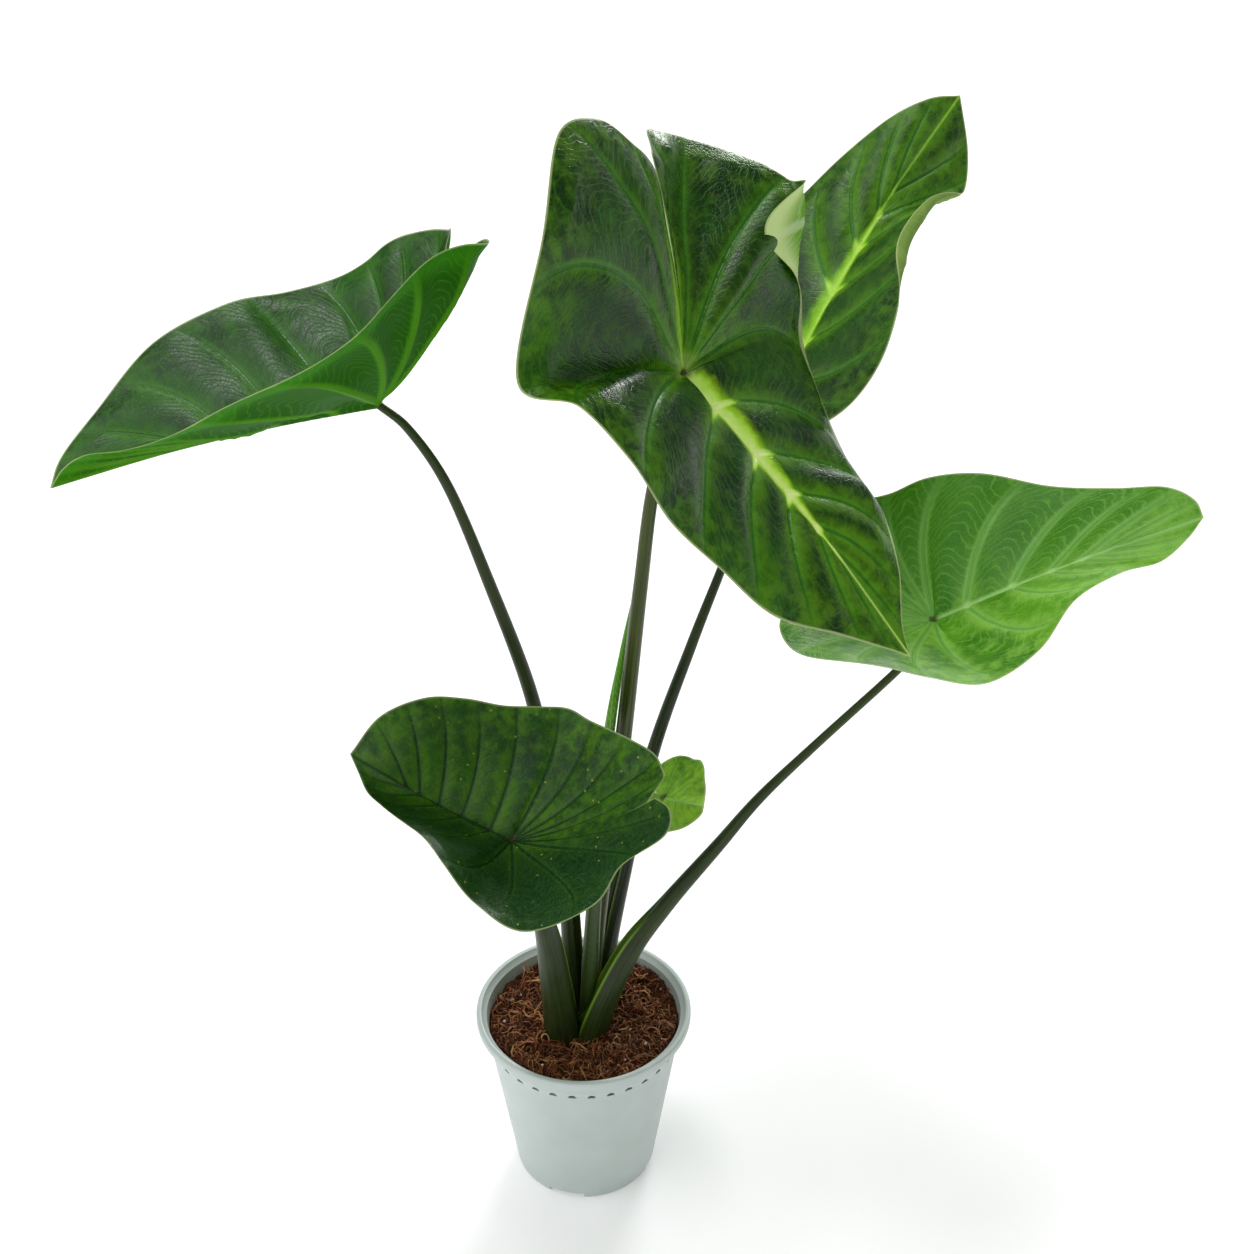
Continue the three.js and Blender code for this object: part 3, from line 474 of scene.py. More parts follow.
# Each blade: its joint with the stalk in mm, the way it points, its tilt and its lean to the
# side in degrees, and its flat size in mm ahead of the joint, behind it and to each side. arch
# raises the midrib by mm, and bow the halves by a share of their width. open turns the lobes
# apart, notch is how far out their corners are, and gape widens the slit between them by mm.
# rise lifts the edge of each half by degrees and reach lengthens it by per cent, both from the
# tip round to the notch. curl rolls a stretch of one edge: the half, where the roll starts and
# stops, its radius, its turn, the flap past it, how late it is fullest and its swing.
BLADES = {
    "left": dict(
        joint=(-126, -0.5, 670.4), heading=182.6, pitch=-11, roll=-15.4, length=223, lobe=125,
        half_width=(119, 123), arch=4.6, bow=-0.05, open=(0, 24), notch=(0.1, 0.1),
        rise=((-3, 2, 5, 15, 29, 39, 41, 46), (-3, 7, 31, 39, 45, 47, 48, 50)),
        reach=((0, 1, 2, 1, 2, 5, 2, -1), (0, 5, 5, 2, 2, 2, -1, -2)), curl=None),
    "centre": dict(
        joint=(67.7, -69, 718.5), heading=-29, pitch=-39, roll=25.6, length=216, lobe=143.5,
        half_width=(137, 139.5), arch=5, bow=0.04, open=(0, 0), notch=(0.012, 0.012),
        rise=((-4, -2, 4, 10, 12, 16, 28, 42, 50, 46, 35, 33, 32, 34),
              (-4, -6, -10, -17, -20, -20, -13, -13, -21, 5, 19, 27, 32, 34)),
        reach=((0, -0.5, -1, -1.5, -2, -2, -2, -1.5, -1, -0.5, -1, -5, -8, -8.5, -6, 0, 6, -4,
                6, 7, 8, 6, 4, 2.5, 1, 0.5, 0),
               (0, 1, 1, 1, 0.6, -1.2, -2.4, -2.4, -1, 5, 12, 4, -9, -3)),
        gape=2, curl=(0, 0.37, 0.662, 6.5, 166, 33, 1.9, 17)),
    "back": dict(
        joint=(147.2, 122, 633.6), heading=38, pitch=37.5, roll=7.4, length=241.7, lobe=108,
        half_width=(115.5, 117.5), arch=7.4, bow=0.03, open=(0, 0), notch=(0.1, 0.1),
        rise=((10, 17, 20, 19, 18, 19, 20, 20), (10, 0, 18, 20, 18, 20, 21, 20)),
        reach=((0, 2, 0, 0, 0, 0, 0, 0), (0, -6, -3, 1, 1, 0, 0, 0)),
        curl=(1, 0.12, 0.43, 4, 160, 3, 1, 0)),
    "right": dict(
        joint=(246.6, 0.3, 509.3), heading=-1.4, pitch=16.3, roll=1, length=189.8, lobe=109.4,
        half_width=(102.6, 103), arch=3.2, bow=-0.03, open=(0, 0), notch=(0.1, 0.1),
        rise=((9, 15, 19, 37, 37, 36, 35, 29), (9, 6, 14, 2, 13, 18, 19, 23)),
        reach=((0, 12, 13, 8, 1, -2, -2, 0), (0, -1, -2, 0, 0, 0, -1, -1)), curl=None),
    "front": dict(
        joint=(-46, -73.3, 375), heading=157, pitch=18.5, roll=-6, length=131, lobe=131,
        half_width=(92.5, 98), arch=-2.6, bow=-0.05, open=(0, 0), notch=(0.01, 0),
        rise=((-1, -4, -5, 2, 9, 15, 15, 8, 10, 23, 34, 42, 46, 47.5),
              (-1, 28, 41, 52, 55, 55, 52, 47)),
        reach=((0, -2, -3, -3, -3, -2, 0, -3, 10, 10, -8, 3, 3, 2),
               (0, 6, 6, 5, 0, -6, -8, -4)), curl=None),
    "small": dict(
        joint=(62, 2, 356.5), heading=-37, pitch=-3, roll=-17.5, length=40, lobe=20,
        half_width=(42, 36), arch=0, bow=-0.04, open=(0, 0), notch=(0.1, 0.1),
        rise=((21, 17, 15, 7, 0, 5, 13, 17), (21, 6, -2, 2, 9, 14, 18, 19)),
        reach=((0, 1, 2, 1, 0, 0, 0, 0), (0, 1, 2, 1, 1, 0, 0, 0)), curl=None),
}


def smooth(values, place):
    """Values joined by a smooth curve, read at places from 0 to 1."""
    values = np.asarray(values, float)
    last = len(values) - 1
    place = np.clip(place, 0, 1) * last
    i = np.minimum(place.astype(int), last - 1)
    f = place - i
    if values.ndim == 2:
        f = f[..., None]
    padded = np.concatenate(
        [[2 * values[0] - values[1]], values, [2 * values[-1] - values[-2]]])
    a, b, c, d = (padded[i + k] for k in range(4))
    bend = 2 * a - 5 * b + 4 * c - d + (3 * b - a - 3 * c + d) * f
    return b + 0.5 * f * (c - a + f * bend)


def blade_axes(leaf):
    """Forward, leftward and upward directions of a blade."""
    heading, pitch = math.radians(leaf["heading"]), math.radians(leaf["pitch"])
    level = np.array([math.cos(heading), math.sin(heading), 0])
    forward = level * math.cos(pitch) + [0, 0, math.sin(pitch)]
    upright = level * -math.sin(pitch) + [0, 0, math.cos(pitch)]
    roll = math.radians(-leaf["roll"])
    normal = upright * math.cos(roll) + np.cross(forward, upright) * math.sin(roll)
    return np.array([forward, np.cross(normal, forward), normal])


def margin_points(leaf, side):
    """Points of one half's edge in the blade's own axes, from the tip to the notch corner."""
    u = np.linspace(0, 1, len(OUTLINE))
    along = OUTLINE[:, 0] * np.where(OUTLINE[:, 0] >= 0, leaf["length"], leaf["lobe"])
    across = np.append(OUTLINE[:-1, 1], leaf["notch"][side]) * leaf["half_width"][side]
    flat = np.hypot(along, across)
    straight = np.arctan2(across, along)
    angle = straight - math.radians(leaf["open"][side]) * ((1 - np.cos(straight)) / 2) ** 2
    rise = np.radians(smooth(leaf["rise"][side], u))
    (deep, few), (slight, many) = NICKS
    nicks = deep * np.sin(2 * math.pi * few * u + side)
    nicks += slight * np.sin(2 * math.pi * many * u + 2)
    reach = flat * (1 + (smooth(leaf["reach"][side], u) + nicks * np.sin(math.pi * u)) / 100)
    sign = 1 if side == 0 else -1
    return np.stack([reach * np.cos(rise) * np.cos(angle),
                     sign * reach * np.cos(rise) * np.sin(angle), reach * np.sin(rise)], -1)


def midrib(leaf, share):
    """Points of the arched midrib at shares of its length, in the blade's own axes."""
    tip = margin_points(leaf, 0)[0]
    top = tip / 2 + np.array([0, 0, 2 * leaf["arch"]])
    return top * 2 * share * (1 - share) + tip * share ** 2


def blade_surface(leaf, side, u, v):
    """Middle surface of one half of a blade: u runs along its edge from the tip to the notch
    corner and v from the midrib out. Gives the points, the length of each lateral and how
    far it is rolled."""
    root = midrib(leaf, np.maximum(0.8 * smooth(OUTLINE[:, 0], u) - 0.1, 0)[..., None])
    chord = smooth(margin_points(leaf, side), u) - root
    span = np.linalg.norm(chord, axis=-1)
    chord = chord / span[..., None]
    lift = np.array([0, 0, 1.0]) - chord * chord[..., 2:]
    lift /= np.linalg.norm(lift, axis=-1)[..., None]
    turn, radius, flap, swing, amount = np.zeros_like(u), 1, 0, 0, np.zeros_like(u)
    if leaf["curl"] and leaf["curl"][0] == side:
        _, start, stop, radius, most, flap_most, skew, swing = leaf["curl"]
        inside = np.clip((u - start) / (stop - start), 0, 1)
        amount = np.sin(math.pi * inside ** skew) ** 2
        turn = math.radians(most) * (1 - (1 - amount) ** 3)
        flap = flap_most * amount ** 1.4
    lean, slide = math.cos(math.radians(swing)), math.sin(math.radians(swing))
    aside = np.cross(lift, chord) * (1 if side == 0 else -1)
    over, along = chord * lean - aside * slide, chord * slide + aside * lean
    flat = span - radius * np.sin(np.minimum(turn, math.pi / 2))
    run = v * (flat + radius * turn / lean + flap)
    rolled = np.clip((run - flat) * lean / radius, 0, turn)
    past = np.maximum(run - flat - radius * turn / lean, 0) * lean
    wave = MARGIN_WAVE * (span / 120) * np.sin(2 * math.pi * MARGIN_WAVES * u + side) * v ** 3
    bow = 4 * leaf["bow"] * span * v * (1 - v)
    fade = 1 - np.maximum(1 - 1.6 * u, 0) ** 4
    out = radius * np.sin(rolled) + past * np.cos(turn)
    high = (bow + wave) * fade * (1 - 0.85 * amount)
    high += radius * (1 - np.cos(rolled)) + past * np.sin(turn)
    slip = np.maximum(run - flat, 0) * slide
    place = root + chord * np.minimum(run, flat)[..., None] + over * out[..., None]
    return place + lift * high[..., None] + along * slip[..., None], span, amount


def half_blade(leaf, side, laterals, rows):
    """One half of a blade as a grid: its points, and what its veins and colours go by."""
    u, v = np.meshgrid(np.linspace(0, 1, laterals + 1), np.linspace(0, 1, rows + 1),
                       indexing="ij")
    points, span, amount = blade_surface(leaf, side, u, v)
    edge = v[-1:]
    middle = (points[-1:] + blade_surface(leaf, 1 - side, u[-1:], edge)[0]) / 2
    inside = np.clip((v - NOTCH_SHARE) / (1 - NOTCH_SHARE), 0, 1)
    gape = leaf.get("gape", 0) * np.sin(math.pi * inside) ** 2 * np.clip(10 * u - 9, 0, 1) ** 2
    points[..., 1] += gape if side == 0 else -gape
    own = points[-1:]
    slit = middle + (own - middle) * inside[-1:, :, None]
    for step in range(1, STRIP + 1):
        share = step / STRIP
        points = np.concatenate([points, own + (slit - own) * share])
        u = np.concatenate([u, u[laterals:laterals + 1] + 0.06 * share])
        v = np.concatenate([v, edge])
        span = np.concatenate([span, span[laterals:laterals + 1]])
        amount = np.concatenate([amount, amount[laterals:laterals + 1]])
    wide = u + 0.3 * v ** 2 * np.clip(u, 0, 1) * np.clip(1 - u, 0, 1)
    phase = np.interp(wide, VEINS, np.arange(len(VEINS)))
    by_u, by_v = np.gradient(points, axis=0), np.gradient(points, axis=1)
    e, f, g = (by_u ** 2).sum(-1), (by_u * by_v).sum(-1), (by_v ** 2).sum(-1)
    p_u, p_v = np.gradient(phase)
    slope = (g * p_u ** 2 - 2 * f * p_u * p_v + e * p_v ** 2) / np.maximum(e * g - f * f, 1e-9)
    panel = np.clip(1 / np.sqrt(np.maximum(slope, 1e-6)), 0.5, 90)
    steps = np.linalg.norm(np.diff(points, axis=0), axis=-1)
    to_slit = np.zeros_like(u)
    to_slit[:-1] = steps[::-1].cumsum(0)[::-1]
    to_slit += np.maximum(NOTCH_SHARE - v, 0) * span
    return dict(points=points, u=u, v=v, phase=phase, panel=panel, run=v * span, fold=amount,
                margin=np.minimum((1 - v) * span, to_slit))


def blade_sheet(leaf, laterals, rows):
    """Both halves of a blade joined into one sheet: its values by point, and its faces."""
    halves = [half_blade(leaf, side, laterals, rows) for side in (0, 1)]
    columns, count = halves[0]["u"].shape
    ids = np.arange(2 * columns * count).reshape(2, columns, count)
    ids[1, :, 0] = ids[0, :, 0]
    ids[1, 0, :] = ids[0, 0, :]
    ids[:, halves[0]["u"][:, 0] >= FAN_START, 0] = ids[0, -1, 0]
    for side in (0, 1):
        ids[side, laterals + 1:, -1] = ids[side, laterals, -1]
    joined = halves[0]["v"][-1] <= NOTCH_SHARE
    ids[1, -1, joined] = ids[0, -1, joined]
    used, ids = np.unique(ids, return_inverse=True)
    ids = ids.reshape(2, columns, count)
    sheet = {key: np.stack([halves[0][key], halves[1][key]]).reshape(
        (-1,) + halves[0][key].shape[2:])[used] for key in halves[0]}
    faces = []
    for side in (0, 1):
        a, b = ids[side, :-1, :-1].ravel(), ids[side, :-1, 1:].ravel()
        c, d = ids[side, 1:, 1:].ravel(), ids[side, 1:, :-1].ravel()
        for quad in zip(a.tolist(), b.tolist(), c.tolist(), d.tolist()):
            quad = list(dict.fromkeys(quad if side == 0 else quad[::-1]))
            if len(quad) > 2:
                faces.append(quad)
    return sheet, faces


def sheet_normals(points, faces):
    """Smooth direction off a sheet at each of its points."""
    corners = np.array([face[:3] + face[-1:] for face in faces])
    across = points[corners[:, 2]] - points[corners[:, 0]]
    down = points[corners[:, 3]] - points[corners[:, 1]]
    flat = np.where((corners[:, 2] == corners[:, 3])[:, None],
                    np.cross(points[corners[:, 1]] - points[corners[:, 0]], across),
                    np.cross(across, down))
    normals = np.zeros_like(points)
    for corner in range(4):
        np.add.at(normals, corners[:, corner], flat)
    return normals / np.maximum(np.linalg.norm(normals, axis=1), 1e-12)[:, None]


def midrib_values(leaf, points):
    """Distance of points from the midrib in mm, and the place along it that is nearest:
    0 at the joint and 1 at the tip, with the last stretch straight."""
    share = np.linspace(0, 1, 240)[:, None]
    knee, tip = midrib(leaf, 0.7), midrib(leaf, 1)
    straight = knee + (tip - knee) * (share - 0.7) / 0.3
    best, nearest = np.full(len(points), 1e9), np.zeros(len(points))
    for place, spot in zip(share[:, 0], np.where(share > 0.7, straight, midrib(leaf, share))):
        far = np.linalg.norm(points - spot, axis=1)
        better = far < best
        best[better] = far[better]
        nearest[better] = place
    return best, nearest


def make_blade(name, laterals, rows, quilt):
    """Blade of a leaf: its sheet bulges between the veins, with a channel and a rib along
    the midrib and ridges under the veins."""
    leaf = BLADES[name]
    sheet, faces = blade_sheet(leaf, laterals, rows)
    local = sheet["points"]
    size = leaf["length"] / FULL_LENGTH
    rib_far, rib_place = midrib_values(leaf, local)
    sheet.update(rib_far=rib_far, rib_place=rib_place, flat=local)
    axes = blade_axes(leaf)
    points = np.array(leaf["joint"]) + local @ axes
    normals = sheet_normals(points, faces)
    if (normals @ axes[2]).mean() < 0:
        normals = -normals
        faces = [face[::-1] for face in faces]

    def crease(form, far, wide=1):
        high, half_width = form
        return high * size * np.exp(-(far / (half_width * wide)) ** 2)

    near = np.abs(sheet["phase"] - np.round(sheet["phase"]))
    off_vein = near * sheet["panel"]
    from_margin, from_rib = QUILT_FADE
    fade = np.clip(sheet["margin"] / (from_margin * size), 0, 1)
    fade *= np.clip(rib_far / (from_rib * size), 0, 1)
    plump = np.sin(math.pi * near) ** 0.8 * np.minimum(sheet["panel"] / QUILT_PANEL, 1) * fade
    plump *= 1 - 0.85 * sheet["fold"] * np.clip(3 * sheet["v"] - 1.2, 0, 1)
    lump, swell = (np.array([noise.noise(Vector(spot) / broad) for spot in local])
                   for broad in (LUMP, SWELL))
    ripple = (sheet["run"] - 0.5 * off_vein) / (CROSS_VEINS * size) + 0.7 * lump
    lift = quilt * (plump * (1 + 0.5 * lump) + 0.9 * swell * fade)
    lift += 0.07 * size * np.sin(2 * math.pi * ripple) * plump
    tapered = np.clip(1.12 - rib_place, 0, 1)
    hollow = tapered * crease(CHANNEL, rib_far, size) + fade * crease(GROOVE, off_vein)
    keel = tapered * crease(RIB, rib_far, size) + fade * crease(RIDGE, off_vein)
    half = HALF_SHEET * np.clip(sheet["margin"] / 2, 0.35, 1)
    upper = points + normals * (lift + hollow + half)[:, None]
    lower = points + normals * (lift - keel - half)[:, None]
    count = len(points)
    solid = [list(face) for face in faces]
    solid += [[count + corner for corner in reversed(face)] for face in faces]
    edges = dict.fromkeys(pair for face in faces for pair in zip(face, face[1:] + face[:1]))
    solid += [[stop, start, count + start, count + stop] for start, stop in edges
              if (stop, start) not in edges]
    values = {key: np.concatenate([sheet[key], sheet[key]]) for key in
              ("phase", "panel", "run", "margin", "rib_far", "rib_place", "flat")}
    values["under"] = np.repeat([0.0, 1.0], count)
    piece = piece_from("blade_" + name, np.concatenate([upper, lower]).tolist(), solid, values)
    only(piece)
    bpy.ops.object.shade_smooth_by_angle(angle=math.radians(60))
    return piece


blades = {}
for name, laterals, rows, quilt in (
        ("left", 200, 64, 3.8), ("centre", 210, 84, 4.2), ("back", 200, 64, 3.8),
        ("right", 180, 58, 1.8), ("front", 180, 58, 2.2), ("small", 90, 30, 0.6)):
    blades[name] = make_blade(name, laterals, rows, quilt)


# Living leaf: a waxy cuticle over wet green tissue. The flesh is deepest in the middle of each
# panel and yellower beside the veins, with fine cross veins that bend towards the edge. The
# underside is matt, and light that comes through the sheet is yellower than what it throws
# back. The cross veins are really 2 to 3 mm apart, and are drawn twice as far so that they show.
def leaf_material(name, look):
    """Material of a blade, from its sRGB colours and the widths of its veins in mm."""
    material, tree = new_material(name)
    flat = put(tree, "Attribute", attribute_name="flat", out=1)
    phase, panel, run, margin, rib_far, rib_place, side = (
        put(tree, "Attribute", attribute_name=key, out=2)
        for key in ("phase", "panel", "run", "margin", "rib_far", "rib_place", "under"))
    ways = put(tree, "SeparateXYZ", flat).node.outputs
    along, across = ways[0], ways[1]
    wander = put(tree, "TexNoise", flat, Scale=0.035, Detail=3, Roughness=0.6)
    broad = put(tree, "TexNoise", flat, Scale=0.02, Detail=2)
    mottle = put(tree, "TexNoise", flat, Scale=0.11, Detail=4, Roughness=0.6)
    near = put(tree, "Math PINGPONG", phase, 0.5)
    off_vein = put(tree, TIMES, near, panel)

    edge = (TIMES, (EASE, margin, 45.0, 5.0),
            (TIMES, (EASE, mottle, 0.34, 0.66), look["edge_fresh"]))
    beside = put(tree, TIMES, (EASE, off_vein, 1.0, 15.0, 1.0, 0.0),
                 (EASE, mottle, 0.3, 0.6, 0.4, 1.0))
    beside = (TIMES, (TIMES, beside, (EASE, run, 8.0, look["fresh_reach"], 1.0, 0.25)),
              look["fresh_share"])
    # painted shade: the blade's left half, from just past the midrib outward, is darkened toward
    # the deep colour, with a wandering edge
    painted_shade = (EASE, (PLUS, across, (TIMES, wander, 30.0)), -10.0, 45.0)

    arc = put(tree, "Math COSINE", (TIMES, near, 2 * math.pi))
    arc = put(tree, TIMES, panel, (MINUS, 0.033, (TIMES, arc, 0.033)))
    fine = put(tree, PLUS, (MINUS, ("Math DIVIDE", run, 6.4), arc), (TIMES, wander, 3.2))
    ripple = put(tree, "Math PINGPONG", fine, 0.5)
    lines = put(tree, TIMES, (EASE, ripple, 0.0, 0.16, 1.0, 0.0),
                (EASE, off_vein, 0.5, 4.0, 0.2, 1.0))
    cells = put(tree, "TexVoronoi", flat, feature="DISTANCE_TO_EDGE", Scale=0.34)
    net = put(tree, EASE, cells, 0.0, 0.09, 1.0, 0.0)

    thick = look["vein_wide"]
    reach = put(tree, EASE, margin, 0.0, 35.0, 0.35, 1.0)
    halo = put(tree, TIMES, (EASE, off_vein, thick, 3.2 * thick, 1.0, 0.0), reach)
    core = put(tree, TIMES, (EASE, off_vein, 0.45 * thick, thick, 1.0, 0.0), reach)
    basal = (TIMES, (TIMES, (EASE, phase, 9.3, 10.0), (EASE, run, 15.0, 105.0, 1.0, 0.0)),
             (EASE, off_vein, 1.0, 6.0, 1.0, 0.0))

    wide = put(tree, EASE, rib_place, 0.2, 0.66, look["rib_wide"], 0.8)
    pull = (TIMES, (EASE, off_vein, 0.3, 3.2, 1.0, 0.0), (TIMES, wide, 0.8))
    feather = put(tree, PLUS, rib_far, (TIMES, (MINUS, mottle, 0.5), wide))
    feather = put(tree, "Math DIVIDE", (MINUS, feather, pull), wide)
    bright = put(tree, TIMES, (EASE, feather, 0.35, 1.25, 1.0, 0.0),
                 (EASE, rib_place, 0.0, 0.04, 0.2, 1.0))
    ends = put(tree, TIMES, (EASE, rib_place, 0.55, 0.75, 1.0, 0.4), look["rib_share"])
    centre = (TIMES, (TIMES, bright, (EASE, feather, -0.2, 0.8, 1.0, 0.0)), ends)

    layers = [
        (edge, look["fresh"]), (beside, look["fresh"]),
        ((TIMES, (EASE, mottle, 0.45, 0.75), look["mottle"]), look["fresh"]),
        # painted shade laid over the flesh of one half of the blade
        ((TIMES, painted_shade, look["painted_shade"]), look["deep"]),
        ((TIMES, lines, look["lines"]), look["streak"]),
        ((TIMES, net, 0.5 * look["lines"]), look["streak"]),
        ((TIMES, halo, look["vein_share"]), look["vein"]),
        ((TIMES, core, look["core_share"]), look["core"]),
        ((TIMES, basal, look["basal"]), look["rib"]),
        ((TIMES, bright, ends), look["rib"]), (centre, look["rib_core"])]
    if look["speckle"]:
        dots = put(tree, "TexVoronoi", flat, Scale=0.1, Randomness=1)
        layers.append(((EASE, dots, 0.05, 0.1, look["speckle"], 0.0), "#B9BE4A"))
    if look["scratch"]:
        worn = put(tree, "TexNoise", flat, Scale=0.05, Detail=5, Roughness=0.7, Distortion=2.5)
        worn = (EASE, ("Math PINGPONG", (TIMES, worn, 6.0), 0.5), 0.0, 0.05, 1.0, 0.0)
        layers.append(((TIMES, worn, look["scratch"]), "#8FA58A"))
    spot = (EASE, (PLUS, rib_far, (TIMES, mottle, 4.0)), 4.2, 6.5, 0.8, 0.0)
    layers.append(((TIMES, spot, (EASE, rib_place, 0.0, 0.02, 1.0, 0.0)), "#3A2F18"))
    colour = put(tree, MIX, (EASE, broad, 0.42, 0.68), look["deep"], look["mid"])
    for share, over in layers:
        colour = put(tree, MIX, share, colour, over)

    below = (MIX, (EASE, margin, 26.0, 6.0), look["under"], look["under_pale"])
    below = (MIX, (TIMES, lines, 0.3), below, look["under_vein"])
    below = (MIX, (TIMES, halo, 0.6), below, look["under_vein"])
    turned = (TIMES, (EASE, across, 20.0, 60.0, 0.0, look["turned"]), (EASE, along, -5.0, 20.0))
    rim = (EASE, (MINUS, margin, turned), 0.5, 1.6, look["rim"], 0.0)
    colour = put(tree, MIX, rim, (MIX, side, colour, below), "#C3CF95")

    gloss = (EASE, mottle, 0.3, 0.7, look["gloss"], look["gloss"] + 0.1)
    rough = (MINUS, (PLUS, gloss, (TIMES, lines, 0.12)), (TIMES, core, 0.05))
    height = (MINUS, (TIMES, mottle, 0.9), (TIMES, lines, 0.4))
    height = (MINUS, (MINUS, height, (TIMES, net, 0.2)), (TIMES, core, 0.8))
    bump = put(tree, "Bump", Height=height, Strength=0.5, Distance=0.0006)
    waxy = put(tree, "BsdfPrincipled", Base_Color=colour, Roughness=rough, Normal=bump,
               IOR=1.45, Specular_IOR_Level=look["shine"])
    matt = put(tree, "BsdfPrincipled", Base_Color=colour, Roughness=0.6, Normal=bump,
               IOR=1.4, Specular_IOR_Level=0.08)
    let_through = put(tree, "BsdfTranslucent", (MIX, 0.45, colour, look["glow"]), bump)
    put(tree, "OutputMaterial",
        ("MixShader", look["through"], ("MixShader", side, waxy, matt), let_through))
    return material


# A full grown leaf in good light has near black green panels and a broad yellow midrib. The
# other looks say only where they differ from it.
GROWN = dict(
    deep="#092602", mid="#1F4E03", fresh="#68A008", fresh_reach=90, fresh_share=0.8, mottle=0.2,
    edge_fresh=0.35, painted_shade=0, turned=0, streak="#3C7F22", lines=0.3, vein="#4F9420",
    vein_wide=1.5, vein_share=0.5, core="#1A5016", core_share=0.6, basal=0.6, rib="#B4EC24",
    rib_core="#EAFFA0", rib_wide=12, rib_share=1, speckle=0, scratch=0, under="#6FB426",
    under_pale="#E2FBA8", under_vein="#F0FFD0", rim=0.7, gloss=0.22, shine=0.28,
    glow="#66C400", through=0.2)
LEAF_LOOKS = {
    "centre": ("mature_leaf", "dark_leaf", dict(turned=3.2, rim=0.8, shine=0.32)),
    "back": ("mature_leaf", "dark_leaf", dict(
        rib_wide=8.5, rib="#8FD01E", rib_core="#C4F25A", under="#5E8432",
        under_pale="#7FA04A", under_vein="#A9C070", gloss=0.24, shine=0.5)),
    "left": ("mature_leaf", "dark_leaf", dict(
        deep="#0E3606", mid="#1E5408", fresh="#468A0C", rib="#5E9A3C", rib_core="#7FB84E",
        rib_wide=2.2, rib_share=0.6, basal=0.2, under="#246202", under_pale="#368404",
        under_vein="#62AA1C", through=0.24, vein_share=0.4, core_share=0.4, shine=0.45,
        gloss=0.26, glow="#4FB000")),
    "right": ("young_leaf", "light_leaf", dict(
        deep="#337808", mid="#60A41C", fresh="#A4D858", fresh_share=0.75, fresh_reach=130,
        mottle=0.5, painted_shade=0.8, edge_fresh=0.3, streak="#8CC850", lines=0.4, vein="#93CC68",
        vein_share=0.6, core="#3F7F28", core_share=0.35, basal=0.3, rib="#9AD070",
        rib_core="#B9E08C", rib_wide=2.6, rib_share=0.9, under="#4F9A26",
        under_pale="#6FB53E", under_vein="#A6D66E", gloss=0.38, through=0.28,
        glow="#9AD84A")),
    "front": ("mature_leaf", "dark_leaf", dict(
        painted_shade=0.85, deep="#0E3410", mid="#205406", fresh="#649A08", fresh_share=0.85,
        fresh_reach=60, mottle=0.4, streak="#33702A", lines=0.2, vein="#2F5F1A",
        vein_wide=1.3, core="#0E2A10", core_share=0.8, basal=0.0, rib="#1A3012",
        rib_core="#0E2A10", rib_wide=1.6, rib_share=0.8, speckle=0.7, scratch=0.3,
        under="#2F5F22", under_pale="#3F7A30", under_vein="#5E8F3A", rim=0.5, gloss=0.3)),
    "small": ("young_leaf", "light_leaf", dict(
        deep="#346E0C", mid="#64A01C", fresh="#A4D038", mottle=0.8, fresh_reach=40,
        streak="#7EB850", vein="#7EB850", core="#2F6A1E", core_share=0.3, vein_wide=0.8,
        basal=0.0, rib="#8CC65A", rib_core="#9AD070", rib_wide=1.2, rib_share=0.6,
        speckle=0.5, under="#6AA83C", under_pale="#86BC58", under_vein="#9CCB62", gloss=0.4,
        through=0.26)),
}
for name, (kind, slot, own) in LEAF_LOOKS.items():
    material = leaf_material(kind + "_" + name, {**GROWN, **own})
    dress(blades[name], material, "blade_" + name)

# Stalks
# Six fleshy leaf stalks. The lower part of each is a sheath, a channel between two thin lips
# that wrapped the next leaf. The old outer ones are nearly black, the inner ones greener.

# Each has its path in mm, its width at the foot and the top, how fast it tapers and the share
# of its length that is sheath. Its blade's joint ends the path.
STALKS = {
    "left": dict(path=[(-8, 11, 116), (-8, 12, 178), (-12, 10, 284), (-21, 8, 362),
                       (-34.5, 6, 447), (-60, 4, 536.5), (-84, 2, 610), (-107, 0, 652)],
                 width=(19, 5.4), taper=1.5, sheath=0.35),
    "centre": dict(path=[(3, 7, 116), (6, 5, 180), (14, -3, 270), (23, -15, 345),
                         (32, -26, 427), (43, -44, 557), (50, -54.5, 631), (59.5, -62.5, 680)],
                   width=(17, 7.4), taper=1.5, sheath=0.68),
    "back": dict(path=[(15, 17, 116), (15, 15, 180), (30.5, 27, 265), (54, 46, 368),
                       (82, 63.5, 451), (103, 81, 504), (118.5, 94, 545), (134, 107, 587.5)],
                 width=(26, 6), taper=3.3, sheath=0.4),
    "right": dict(path=[(8, -13, 116), (9.5, -14, 150), (34.5, -12, 218), (63.5, -10, 266),
                        (102, -8, 321), (131.5, -7, 364), (171, -4.5, 410), (222.5, -2, 468),
                        (238.4, -1, 490)],
                  width=(31, 5.6), taper=3, sheath=0.36),
    "front": dict(path=[(-15, -14, 116), (-18, -17, 158), (-22.5, -34, 232), (-26, -46, 274),
                        (-31, -54, 307), (-38.5, -64, 342)],
                  width=(32, 7), taper=1.5, sheath=0.62),
    "small": dict(path=[(3, 27, 116), (4, 25, 180), (11, 16, 235), (22, 9, 285), (38, 5, 330)],
                  width=(10, 4.4), taper=1.5, sheath=0.3),
}
STALK_SIDES = 48
STALK_STEPS = 130
STALK_IN = 0.25
STALK_END_RINGS = 14
BURIED = 0.04
SHEATH_FADE = 0.12
CHANNEL_DEEP = 0.58
CHANNEL_WIDE = 15
LIP_HIGH = 0.2
LIP_TURN = 30
LIP_WIDE = 9


